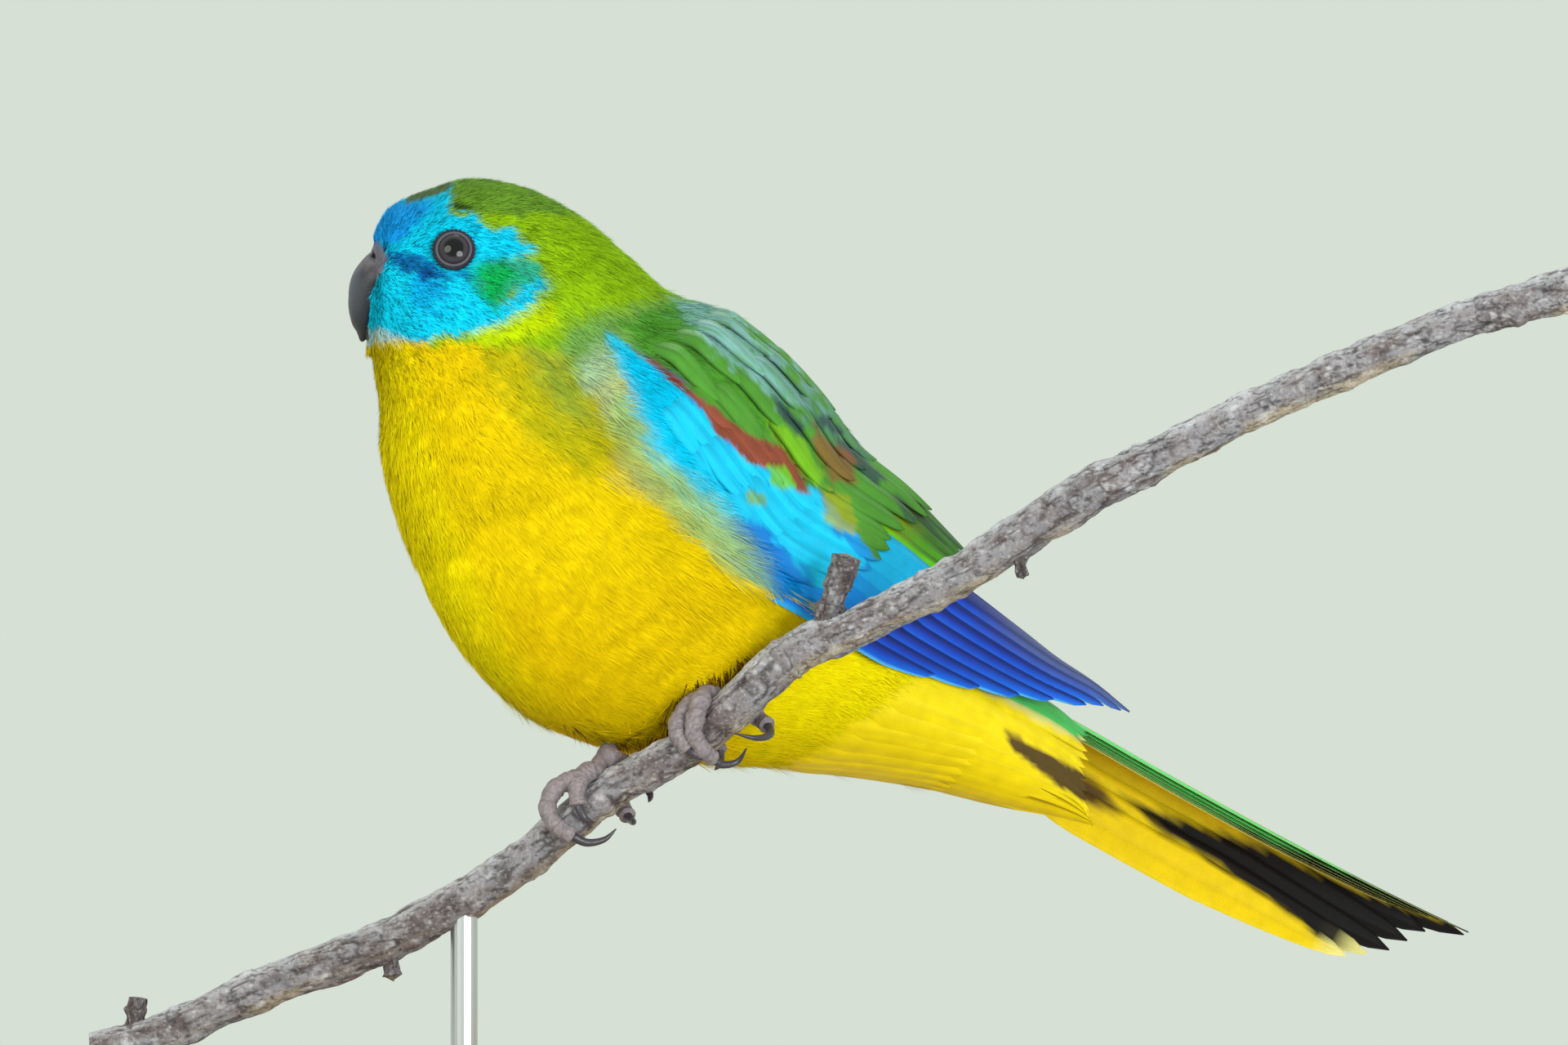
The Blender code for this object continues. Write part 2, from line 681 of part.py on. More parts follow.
def build_stand(collection):
    """The flat base and the rod up to the perch."""
    mesh = bpy.data.meshes.new("stand_base")
    work = bmesh.new()
    bmesh.ops.create_cube(work, size=1.0)
    for vertex in work.verts:
        vertex.co = [
            (vertex.co[0] * BASE_SIZE[0] + BASE_CENTRE[0] + SHIFT[0]) * MM,
            (vertex.co[1] * BASE_SIZE[1] + BASE_CENTRE[1] + SHIFT[1]) * MM,
            (vertex.co[2] * BASE_SIZE[2] + BASE_TOP - BASE_SIZE[2] / 2 + SHIFT[2]) * MM,
        ]
    work.to_mesh(mesh)
    work.free()
    base = bpy.data.objects.new("stand_base", mesh)
    collection.objects.link(base)
    edge = base.modifiers.new("edge", "BEVEL")
    edge.width = BASE_BEVEL * MM
    edge.segments = 2
    edge.limit_method = "ANGLE"
    apply_all(base)
    finish(base, "wood")
    for face in base.data.polygons:
        face.use_smooth = False
    rod = tube(rod_line(0.0), [ROD_RADIUS] * 2, "stand_rod", collection, sides=24, dome=0.0)
    finish(rod, "steel")


def bill_tube(rows, extra, name, collection, body):
    """The bill along its middle, as ovals, fattened by extra."""
    rows = np.array(rows)
    steps = np.linspace(0, len(rows) - 1, 2 * (len(rows) - 1) + 1)
    fine = spline(rows, steps)
    front, left, top = axes_of(HEAD_YAW, 0.0)
    start = spline(body.middle, 1.0)
    points = []
    for x, z, _, _ in fine:
        points.append(start + in_plane(front, top, x - start[0], z - start[2]))
    points = np.array(points)
    tangents = np.gradient(points, axis=0)
    tangents /= np.linalg.norm(tangents, axis=1, keepdims=True)
    sides = 12
    vertices = [points[0] - tangents[0] * (0.3 + extra)]
    for point, tangent, (_, _, deep, wide) in zip(points, tangents, fine):
        normal = np.cross(tangent, left)
        for j in range(sides):
            turn = 2 * math.pi * j / sides
            out = normal * math.cos(turn) * (deep + extra) + left * math.sin(turn) * (wide + extra)
            vertices.append(point + out)
    vertices.append(points[-1] + tangents[-1] * (0.2 + extra))
    return to_object(np.array(vertices), loft_faces(len(points), sides), name, collection)


def eye_place(body, side):
    """Centre and outward direction of an eye; side is +1 left, -1 right."""
    best, place = None, None
    for s in np.linspace(1.5, 4.0, 51):
        for angle in np.linspace(30.0, 110.0, 81):
            point = body.at(s, angle)
            miss = math.hypot(point[0] - EYE_AT[0], point[2] - EYE_AT[1])
            if best is None or miss < best:
                best, place = miss, (s, angle)
    s, angle = place
    point = body.at(s, side * angle)
    out = body.normal(s, side * angle)
    return point - out * EYE_DEPTH, out


def lid_ring(centre, out, name, collection):
    """A ring round the eye where its surface leaves the head."""
    first = np.cross(out, (0.0, 0.0, 1.0))
    first /= np.linalg.norm(first)
    second = np.cross(out, first)
    rings, sides = 18, 6
    lift = math.sqrt(EYE_RADIUS**2 - LID_RADIUS**2) * 0.9
    reach = LID_RADIUS + LID_THICK
    vertices, faces = [], []
    for i in range(rings):
        turn = 2 * math.pi * i / rings
        ray = first * math.cos(turn) + second * math.sin(turn)
        for j in range(sides):
            roll = 2 * math.pi * j / sides
            out_by = reach + LID_THICK * math.cos(roll)
            rise = lift + LID_THICK * 1.15 * math.sin(roll)
            vertices.append(centre + ray * out_by + out * rise)
    for i in range(rings):
        for j in range(sides):
            a, b = i * sides + j, i * sides + (j + 1) % sides
            c, d = ((i + 1) % rings) * sides + j, ((i + 1) % rings) * sides + (j + 1) % sides
            faces.append((a, b, d, c))
    return to_object(np.array(vertices), faces, name, collection)


def build_head(body, parts, spare):
    """Head with lids, sockets and mouth, the eyes, and both halves of the bill."""
    head = body_solid(body, 0.0, HEAD_CUT + 1.0, "head", parts)
    centre, normal = body.slab(HEAD_CUT)
    side = part_side(body, HEAD_CUT)
    part_by_plane(head, centre - normal * side * GAP / 2, normal, side < 0)
    upper = bill_tube(BILL_UPPER, 0.0, "bill_upper", parts, body)
    lower = bill_tube(BILL_LOWER, 0.0, "bill_lower", parts, body)
    combine(lower, [bill_tube(BILL_UPPER, GAP, "clear", spare, body)], "DIFFERENCE")
    cutters = [bill_tube(BILL_UPPER, GAP, "clear", spare, body)]
    cutters.append(bill_tube(BILL_LOWER, GAP, "clear", spare, body))
    lids, sockets, pits = [], [], []
    for name, sign in (("left", 1), ("right", -1)):
        place, out = eye_place(body, sign)
        eye = ball(place, EYE_RADIUS, f"eye_{name}", parts)
        finish(eye, "eye")
        lids.append(lid_ring(place, out, "lid", spare))
        sockets.append(ball(place, EYE_RADIUS + GAP, "socket", spare))
        front, left, top = axes_of(HEAD_YAW, 0.0)
        start = spline(body.middle, 1.0)
        pit = start + in_plane(front, top, NOSTRIL_AT[0] - start[0], NOSTRIL_AT[1] - start[2])
        pits.append(ball(pit + left * sign * 2.4, NOSTRIL_RADIUS, "pit", spare, 10, 6))
    combine(head, lids, "UNION")
    combine(head, sockets + cutters, "DIFFERENCE")
    combine(upper, pits, "DIFFERENCE")
    finish(head, "cyan")
    finish(upper, "horn")
    finish(lower, "horn")


def part_side(body, s):
    """+1 where the section's normal points toward the tail."""
    _, normal = body.slab(s)
    step = spline(body.middle, s + 0.5) - spline(body.middle, s)
    return 1.0 if np.dot(normal, step) > 0 else -1.0


def body_between(body, first, last, name, parts):
    """The body between two cuts, each half a gap short of its plane."""
    start = first - 1.0 if first > 0 else first
    end = last + 1.0 if last < body.count - 1 else last
    solid = body_solid(body, start, end, name, parts)
    if first > 0:
        centre, normal = body.slab(first)
        side = part_side(body, first)
        part_by_plane(solid, centre + normal * side * GAP / 2, normal, side > 0)
    if last < body.count - 1:
        centre, normal = body.slab(last)
        side = part_side(body, last)
        part_by_plane(solid, centre - normal * side * GAP / 2, normal, side < 0)
    return solid


def tail_axes():
    """Backward, left and up directions of the tail, and its length."""
    a = math.radians(TAIL_YAW)
    dx = (TAIL_TIP[0] - TAIL_ROOT[0])
    dz = (TAIL_TIP[1] - TAIL_ROOT[1])
    run = dx / math.cos(a)
    pitch = math.degrees(math.atan2(-dz, run))
    front, left, top = axes_of(TAIL_YAW, TAIL_ROLL, pitch)
    return -front, left, top, math.hypot(run, dz)


def tail_start(body):
    """Where the tail's middle leaves the body's core."""
    middle = spline(body.middle, 15.0)
    front = axes_of(BODY_YAW, 0.0)[0]
    run = (TAIL_ROOT[0] - middle[0]) / front[0]
    return np.array((TAIL_ROOT[0], middle[1] + front[1] * run, TAIL_ROOT[1]))


def smooth(low, high, value):
    """Smooth step from 0 at low to 1 at high, which may be the lower one."""
    share = np.clip((np.asarray(value, dtype=float) - low) / (high - low), 0.0, 1.0)
    return share * share * (3.0 - 2.0 * share)


def tail_place(body, share, down, sign):
    """Points of the tail's roof, and the directions out of it and down its slope.

    share is the place along the tail and down the way from the ridge, on the left for
    sign +1 and on the right for -1.
    """
    back, left, top, length = tail_axes()
    share, down = np.broadcast_arrays(np.asarray(share, float), np.asarray(down, float))
    slope = math.radians(TAIL_SLOPES[0] if sign > 0 else TAIL_SLOPES[1])
    near = np.minimum(down, TAIL_BEND)
    beyond = np.maximum(down - TAIL_BEND, 0.0)
    first = slope * TAIL_CREST
    bend = slope * (1.0 - TAIL_CREST) / TAIL_BEND
    angle = first + bend * near
    side = (np.sin(angle) - math.sin(first)) / bend + beyond * math.cos(slope)
    drop = (math.cos(first) - np.cos(angle)) / bend + beyond * math.sin(slope)
    ridge = TAIL_RIDGE * np.clip(1.0 - share, 0.0, 1.0) ** 1.6
    ridge = ridge - TAIL_RIDGE_DIP * smooth(0.3, 0.0, share) - drop
    points = tail_start(body) + back * (length * share)[..., None]
    points = points + left * (sign * side)[..., None] + top * ridge[..., None]
    across = left * (sign * np.cos(angle))[..., None] - top * np.sin(angle)[..., None]
    out = top * np.cos(angle)[..., None] + left * (sign * np.sin(angle))[..., None]
    return points, out, across


def tail_fan(share):
    """How far the tail's feathers have spread at this share of its length."""
    return 0.45 + 0.55 * smooth(0.0, 0.34, share)


def tail_vane(body, index, sign, parts):
    """One tail feather, counted from the middle, on the left (+1) or right (-1)."""
    reach, *ways, width = TAIL_PAIRS[index]
    near, far = ways[:2] if sign > 0 else ways[2:]
    share = np.linspace(0.0, 1.0, TAIL_ROWS)
    down = tail_fan(share * reach) * (near + (far - near) * share)
    middle, normal, across = tail_place(body, share * reach, down, sign)
    middle = middle - normal * (TAIL_STEP * index)
    half = np.array([blade_width(f, 0.7) for f in share]) * width / 2
    return blade(middle, across * sign, normal, half, TAIL_THICK, 0.1, "vane", parts)


def build_tail(body, parts, spare):
    """Twelve graduated feathers, fused where they overlap."""
    tail = tail_vane(body, 0, 1, parts)
    tail.name = "tail_feathers"
    others = [tail_vane(body, 0, -1, spare)]
    for index in range(1, len(TAIL_PAIRS)):
        for sign in (1, -1):
            others.append(tail_vane(body, index, sign, spare))
    combine(tail, others, "UNION")
    finish(tail, "tail")
    return tail


def build_wing(sheath, name, side, parts, spare):
    """One folded wing: primaries below, secondaries with tertials, then coverts."""
    half = VANE_THICK / 2 + 0.1
    low, high = PRIMARY_LEVEL - half, PRIMARY_LEVEL + half
    node = sheet(sheath, PRIMARY_BAR, (low, high, high), f"wing_{name}_primaries", parts, side)
    vanes = feather_row(sheath, PRIMARIES, PRIMARY_LEVEL, "vane", spare, side)
    combine(node, vanes, "UNION")
    finish(node, "blue")
    low, high = SECONDARY_LEVEL - half, SECONDARY_LEVEL + half
    node = sheet(sheath, SECONDARY_BAR, (low, high, high), f"wing_{name}_secondaries", parts, side)
    vanes = feather_row(sheath, SECONDARIES, SECONDARY_LEVEL, "vane", spare, side)
    vanes += feather_row(sheath, TERTIALS, SECONDARY_LEVEL, "vane", spare, side)
    combine(node, vanes, "UNION")
    finish(node, "blue")
    high = COVERT_LEVEL + half - 0.1
    node = sheet(sheath, COVERT_SHEET, (GAP + 0.05, 1.3, high), f"wing_{name}_coverts", parts, side)
    vanes = feather_row(sheath, GREATER_COVERTS, COVERT_LEVEL, "vane", spare, side)
    vanes += feather_row(sheath, SCAPULARS, COVERT_LEVEL, "vane", spare, side)
    combine(node, vanes, "UNION")
    finish(node, "cyan")


def branch_frame(x):
    """Point on the branch at x, and its directions along, up and to the front."""
    rows = np.array(BRANCH_POINTS)
    z = np.interp((x - 2.0, x, x + 2.0), rows[:, 0], rows[:, 1])
    y = BRANCH_SLANT * (x - BRANCH_PIVOT)
    along = np.array((4.0, 4.0 * BRANCH_SLANT, z[2] - z[0]))
    along /= np.linalg.norm(along)
    front = np.array((0.0, -1.0, 0.0))
    front = front - along * np.dot(front, along)
    front /= np.linalg.norm(front)
    up = np.cross(front, along)
    if up[2] < 0:
        up = -up
    return np.array((x, y, z[1])), along, up, front


def around(frame, place):
    """The point at (along, angle, out) round the branch."""
    centre, along, up, front = frame
    turn = math.radians(place[1])
    out = up * math.cos(turn) + front * math.sin(turn)
    return centre + along * place[0] + out * place[2]


def grip(frame, places, radii, extra, name, collection):
    """A toe or claw through places round the branch, fattened by extra."""
    steps = np.linspace(0, len(places) - 1, 2 * (len(places) - 1) + 1)
    fine = spline(np.array(places, dtype=float), steps)
    points = [around(frame, place) for place in fine]
    sizes = spline(np.array(radii)[:, None], steps / steps[-1] * (len(radii) - 1))[:, 0]
    return tube(points, sizes + extra, name, collection, sides=6)


def foot_pieces(foot, extra, collection):
    """Hub, toes and claws of one foot as separate closed bodies."""
    frame = branch_frame(foot["at"])
    pieces = [ball(around(frame, foot["hub"]), 1.75 + extra, "hub", collection, 10, 7)]
    for places in foot["toes"]:
        pieces.append(grip(frame, places, TOE_RADII, extra, "toe", collection))
    for places in foot["claws"]:
        pieces.append(grip(frame, places, CLAW_RADII, extra, "claw", collection))
    return pieces


def leg_tube(foot, extra, name, collection):
    """The leg from its foot up into the belly feathers."""
    hub = around(branch_frame(foot["at"]), foot["hub"])
    knee = np.array(foot["knee"])
    share = np.linspace(0.0, 1.0, 5)[:, None]
    radii = np.array((1.25, 1.3, 1.5, 1.8, 2.1)) + extra
    return tube(hub + (knee - hub) * share, radii, name, collection, sides=12)


def build_foot(name, foot, parts, spare):
    """One foot with its toes and claws fused, and the leg that it hangs from."""
    pieces = foot_pieces(foot, 0.0, spare)
    node = pieces[0]
    spare.objects.unlink(node)
    parts.objects.link(node)
    node.name = f"foot_{name}"
    combine(node, pieces[1:], "UNION")
    finish(node, "skin")
    leg = leg_tube(foot, 0.0, f"leg_{name}", parts)
    combine(leg, foot_pieces(foot, GAP, spare), "DIFFERENCE")
    finish(leg, "skin")


def tail_slot(body, collection):
    """The room that the tail's roots take in the rump."""
    over = TAIL_THICK / 2 + GAP + 0.05
    under = over + TAIL_STEP * (len(TAIL_PAIRS) - 1) + 0.1
    shares = np.array((-0.02, 0.06, 0.14, 0.22, 0.30, 0.38, 0.46))
    columns = []
    for sign, count in ((-1, 9), (1, 6)):
        far = TAIL_PAIRS[-1][3] if sign < 0 else TAIL_PAIRS[-1][1]
        wide = tail_fan(shares) * far + TAIL_PAIRS[-1][-1] / 2 + 0.6
        steps = np.linspace(1.0, 0.0, count) if sign < 0 else np.linspace(0.0, 1.0, count)[1:]
        for step in steps:
            columns.append(tail_place(body, shares, wide * step, sign)[:2])
    n = len(columns)
    points = []
    for level in (over, -under):
        for row in range(len(shares)):
            for place, out in columns:
                points.append(place[row] + out[row] * level)
    rows = len(shares)
    half = rows * n
    faces = []
    for row in range(rows - 1):
        for j in range(n - 1):
            a, b = row * n + j, (row + 1) * n + j
            faces.append((a, a + 1, b + 1, b))
            faces.append((half + a, half + b, half + b + 1, half + a + 1))
        for j, turn in ((0, 1), (n - 1, -1)):
            a, b = row * n + j, (row + 1) * n + j
            faces.append((a, b, half + b, half + a)[::turn])
    for row, turn in ((0, -1), (rows - 1, 1)):
        for j in range(n - 1):
            a = row * n + j
            faces.append((a, a + 1, half + a + 1, half + a)[::turn])
    return to_object(np.array(points), faces, "slot", collection)


def main():
    """Builds every node of the model."""
    for old in list(bpy.data.objects):
        bpy.data.objects.remove(old)
    parts = bpy.data.collections.new("turquoise_parrot")
    spare = bpy.data.collections.new("cutters")
    bpy.context.scene.collection.children.link(parts)
    bpy.context.scene.collection.children.link(spare)
    body = Envelope(BODY_SECTIONS, BODY_ANCHOR)
    build_head(body, parts, spare)
    neck = body_between(body, HEAD_CUT, NECK_CUT, "neck", parts)
    finish(neck, "olive")
    torso = body_between(body, NECK_CUT, RUMP_CUT, "torso", parts)
    clear = [branch_tube(GAP, "clear", spare)]
    for foot in FEET.values():
        clear += foot_pieces(foot, GAP, spare)
        clear.append(leg_tube(foot, GAP, "clear", spare))
    combine(torso, clear, "DIFFERENCE")
    finish(torso, "yellow")
    rump = body_between(body, RUMP_CUT, body.count - 1, "rump", parts)
    combine(rump, [tail_slot(body, spare)], "DIFFERENCE")
    finish(rump, "yellow")
    sheath = Envelope(BODY_SECTIONS[: WING_SPLIT + 1] + WING_SECTIONS, BODY_ANCHOR)
    for name, side in (("left", 1.0), ("right", -1.0)):
        build_wing(sheath, name, side, parts, spare)
        build_foot(name, FEET[name], parts, spare)
    build_tail(body, parts, spare)
    build_branch(parts)
    build_stand(parts)


main()
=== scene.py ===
"""The looks of the turquoise parrot model: plumage, bill, eyes, feet, perch and stand.

Shapes are laid out as in the part's source: millimetres in the plane of the
branch, X right, Y away from the viewer, Z up, (0, 0) in the middle of the view.
SHIFT moves them into the row frame. Markings are drawn where the view shows
them on the bird's left side, and the right side mirrors the left.
"""

import json
import logging
import math
from dataclasses import dataclass, field, fields
from enum import Enum
from functools import partial
from typing import Any, Callable, Dict, List, Optional, Sequence, Tuple, Union

import bpy
import numpy as np
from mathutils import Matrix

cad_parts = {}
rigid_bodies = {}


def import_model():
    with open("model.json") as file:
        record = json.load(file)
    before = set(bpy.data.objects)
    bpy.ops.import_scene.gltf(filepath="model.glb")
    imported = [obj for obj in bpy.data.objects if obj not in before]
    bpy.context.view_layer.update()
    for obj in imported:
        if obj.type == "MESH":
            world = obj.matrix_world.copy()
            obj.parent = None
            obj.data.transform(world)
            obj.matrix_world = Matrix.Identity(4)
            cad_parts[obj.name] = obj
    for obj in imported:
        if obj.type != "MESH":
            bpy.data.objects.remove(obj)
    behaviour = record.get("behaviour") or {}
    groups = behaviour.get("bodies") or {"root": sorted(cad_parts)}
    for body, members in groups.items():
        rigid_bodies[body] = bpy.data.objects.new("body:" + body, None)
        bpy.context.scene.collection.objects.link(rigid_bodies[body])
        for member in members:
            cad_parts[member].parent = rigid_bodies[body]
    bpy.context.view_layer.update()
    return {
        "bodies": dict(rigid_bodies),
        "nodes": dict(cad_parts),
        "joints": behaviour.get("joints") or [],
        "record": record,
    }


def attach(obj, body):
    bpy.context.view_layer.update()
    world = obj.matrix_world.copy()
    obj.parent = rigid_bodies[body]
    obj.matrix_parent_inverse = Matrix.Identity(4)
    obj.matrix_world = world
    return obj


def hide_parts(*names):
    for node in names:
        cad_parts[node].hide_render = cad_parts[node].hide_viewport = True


Array = np.ndarray
Colour = Tuple[float, float, float]
Mesh = Tuple[Array, Array, Array]
Pixels = Sequence[Tuple[float, float]]
Tree, Socket, Node = bpy.types.NodeTree, bpy.types.NodeSocket, bpy.types.Node

LOG = logging.getLogger("parrot")
MM = 0.001
SHIFT = np.array((-7.0, -21.8, 93.0))
VIEW_DISTANCE = 2500.0
# Millimetres of layout in a pixel of the view, and the pixel at (0, 0)
PIXEL = 0.12
VIEW_MIDDLE = (960.0, 639.5)
SEED = 41

# Degrees by which each part turns toward the viewer, and the tail rolls
HEAD_YAW = 5.0
BODY_YAW = 28.0
TAIL_YAW = 28.0
TAIL_ROLL = 27.0
# The section whose middle has a known depth, and that depth
BODY_ANCHOR = (11, 17.0)
# Sections of the fluffed body: back x, z; underside x, z; half width; yaw; roll
BODY_SECTIONS = (
    (-61.2, 41.6, -61.6, 26, 4.7, 5, 0), (-58.4, 46.6, -61.8, 24.6, 8.2, 5, 0),
    (-51.6, 49.7, -61, 23.4, 10.6, 5, 1), (-45.6, 51, -60.6, 21.3, 12, 5, 2),
    (-37.8, 49.6, -60, 18.3, 13.4, 8, 4), (-30.6, 45.9, -59.6, 14.6, 15.4, 12, 6),
    (-24, 40.7, -59.4, 9.6, 17.6, 17, 8), (-17.4, 34.7, -57.8, 2.7, 19, 22, 9),
    (-10.8, 30.2, -55, -5, 19.8, 26, 10), (-3.6, 24.6, -51, -13.9, 20.2, 28, 10),
    (2.6, 18, -45.6, -22, 20.2, 28, 10), (8.2, 10.4, -37.4, -29.4, 19.8, 28, 10),
    (12.4, 2.6, -26.4, -34, 18.8, 28, 10), (16.4, -4.6, -14.4, -36, 17, 28, 12),
    (21, -10.6, -2.4, -37, 16.2, 28, 14), (25.2, -17, 9.6, -37.8, 13.4, 28, 17),
    (29.6, -21.4, 19.2, -39.2, 11.2, 28, 20), (34.8, -23.8, 28.4, -41.6, 9.6, 28, 23),
    (40.6, -26.6, 37.6, -44.6, 8, 28, 26), (46.4, -29.8, 45, -47.4, 5.6, 28, 27),
)
# The folded wing follows the body up to this section, and these after it
WING_SPLIT = 11
WING_SECTIONS = (
    (15.2, 4.4, -23, -34.2, 19.2, 28, 10), (20.8, -1.4, -13, -36.6, 17.8, 28, 10),
    (26.6, -7.6, -1, -37.8, 15.8, 28, 10), (32.2, -13.4, 11, -38.4, 13.6, 28, 10),
    (38, -18.8, 23, -39, 11.4, 28, 10), (43.6, -23.2, 34, -40.6, 10.4, 28, 10),
    (49.4, -28.4, 43.6, -43, 8, 28, 10), (55.4, -33.6, 52, -45.6, 6.4, 28, 10),
)
EYE_AT = (-48.6, 40.1)
EYE_RADIUS = 3.1
EYE_DEPTH = 1.9
# The branch runs toward the viewer by this share of its way from the pivot's x
BRANCH_SLANT = -0.20
BRANCH_PIVOT = -20.0
# Points of the branch: x, z, radius
BRANCH_POINTS = (
    (-101.4, -77.4, 2.7), (-90.6, -74.7, 2.9), (-75.6, -68, 3.1), (-58.2, -61.3, 3.25),
    (-43.2, -53.1, 3.1), (-32.4, -45.1, 2.95), (-24.6, -38.7, 2.85), (-15, -33.4, 2.95),
    (-3, -23.1, 3.2), (2.4, -18.7, 3.2), (11.9, -14.6, 3), (27.2, -6.9, 3.1), (42.6, 3.2, 3.5),
    (56.4, 10.3, 3), (72.8, 18.5, 2.8), (86.6, 24.4, 2.95), (100.4, 29.9, 2.8), (112, 33.4, 3.2),
    (117, 34.4, 3.6),
)


class Kind(Enum):
    """How a finish is patterned."""

    PLUMAGE = "plumage"
    VANE = "vane"
    HORN = "horn"
    SCALES = "scales"
    BARK = "bark"
    PLAIN = "plain"


@dataclass(frozen=True)
class Finish:
    """A material: its colour, shine and pattern."""

    name: str
    kind: Kind
    colour: Colour = (0.5, 0.5, 0.5)
    roughness: float = 0.6
    metallic: float = 0.0
    coat: float = 0.0
    specular: float = 0.5


def rgb(red: float, green: float, blue: float) -> Array:
    """Linear colour of display values from 0 to 255."""
    part = np.array((red, green, blue)) / 255.0
    return np.where(part <= 0.04045, part / 12.92, ((part + 0.055) / 1.055) ** 2.4)


def smooth(low: float, high: float, value: Array) -> Array:
    """Smooth step from 0 at low to 1 at high, which may be the lower one."""
    share = np.clip((value - low) / (high - low), 0.0, 1.0)
    return share * share * (3.0 - 2.0 * share)


def filled(shape: Tuple[int, ...], red: float, green: float, blue: float) -> Array:
    """An array of that shape in one colour, given as for rgb."""
    return np.broadcast_to(rgb(red, green, blue), shape + (3,))


def mix(under: Array, over: Array, share: Array) -> Array:
    """Blends over onto under by share."""
    return under * (1 - share[..., None]) + over * share[..., None]


def layered(colour: Array, *coats: Tuple[Colour, Array]) -> Array:
    """A colour with others over it, each over those before it.

    Args:
        colour: what is under them.
        coats: the display colour of each, and its share at every point.
    Returns:
        What shows.
    """
    for tone, share in coats:
        colour = mix(colour, rgb(*tone), share)
    return colour


def axes_of(yaw: float, roll: float, pitch: float = 0.0) -> Tuple[Array, Array, Array]:
    """Front, left and up directions of a part with these angles in degrees.

    Args:
        yaw, roll, pitch: the angles.
    Returns:
        The three unit directions.
    """
    a, r, p = math.radians(yaw), math.radians(roll), math.radians(pitch)
    level = np.array((-math.cos(a), -math.sin(a), 0.0))
    side = np.array((math.sin(a), -math.cos(a), 0.0))
    up = np.array((0.0, 0.0, 1.0))
    front = level * math.cos(p) + up * math.sin(p)
    top = up * math.cos(p) - level * math.sin(p)
    left = side * math.cos(r) + top * math.sin(r)
    return front, left, top * math.cos(r) - side * math.sin(r)


def in_plane(front: Array, top: Array, x: float, z: float) -> Array:
    """The vector in the plane of front and top that shows as (x, z) in the view."""
    a, b = np.linalg.solve([[top[0], front[0]], [top[2], front[2]]], (x, z))
    return a * top + b * front


def spline(values: Array, s: Array) -> Array:
    """Smooth curve through values, one for each whole s, at every s given.

    Args:
        values: what it passes through.
        s: places along it, in steps of values.
    Returns:
        The curve at each place.
    """
    values = np.asarray(values, dtype=float)
    s = np.clip(np.asarray(s, dtype=float), 0.0, len(values) - 1.0)
    i = np.minimum(s.astype(int), len(values) - 2)
    t = (s - i)[..., None]
    before, here = values[np.maximum(i - 1, 0)], values[i]
    there, after = values[i + 1], values[np.minimum(i + 2, len(values) - 1)]
    m0, m1 = (there - before) / 2, (after - here) / 2
    return (
        (2 * t**3 - 3 * t**2 + 1) * here
        + (t**3 - 2 * t**2 + t) * m0
        + (3 * t**2 - 2 * t**3) * there
        + (t**3 - t**2) * m1
    )


def unit(vectors: Array) -> Array:
    """The vectors at length one."""
    return vectors / np.maximum(np.linalg.norm(vectors, axis=-1, keepdims=True), 1e-9)


def seen(points: Array) -> Array:
    """Points spread with their depth, so that the view shows them as laid out.

    Args:
        points: layout points.
    Returns:
        Where they are built.
    """
    points = np.asarray(points, dtype=float)
    spread = 1.0 + points[..., 1:2] / VIEW_DISTANCE
    return points * np.concatenate((spread, np.ones_like(spread), spread), axis=-1)


def on_view(points: Array) -> Tuple[Array, Array]:
    """Pixels at which the view shows layout points."""
    u = VIEW_MIDDLE[0] + points[..., 0] / PIXEL
    return u, VIEW_MIDDLE[1] - points[..., 2] / PIXEL


def noise(points: Array, scale: float, seed: int = 0) -> Array:
    """Smooth value noise from -1 to 1 over points.

    Args:
        points: array of places, the last axis of length three.
        scale: size of a bump, in the unit of the points.
        seed: picks another pattern.
    Returns:
        The noise at each point.
    """
    place = np.asarray(points) / scale + 1000.0
    cell = np.floor(place).astype(np.int64)
    part = place - cell
    part = part * part * (3 - 2 * part)
    total = np.zeros(place.shape[:-1])
    for dx in (0, 1):
        for dy in (0, 1):
            for dz in (0, 1):
                i, j, k = cell[..., 0] + dx, cell[..., 1] + dy, cell[..., 2] + dz
                mix = (i * 73856093) ^ (j * 19349663) ^ (k * 83492791) ^ (seed * 2654435)
                mix = (mix ^ (mix >> 13)) * 1274126177 & 0xFFFFFFFF
                value = (mix ^ (mix >> 16)) % 65536 / 32767.5 - 1.0
                weight = (
                    (part[..., 0] if dx else 1 - part[..., 0])
                    * (part[..., 1] if dy else 1 - part[..., 1])
                    * (part[..., 2] if dz else 1 - part[..., 2])
                )
                total += value * weight
    return total


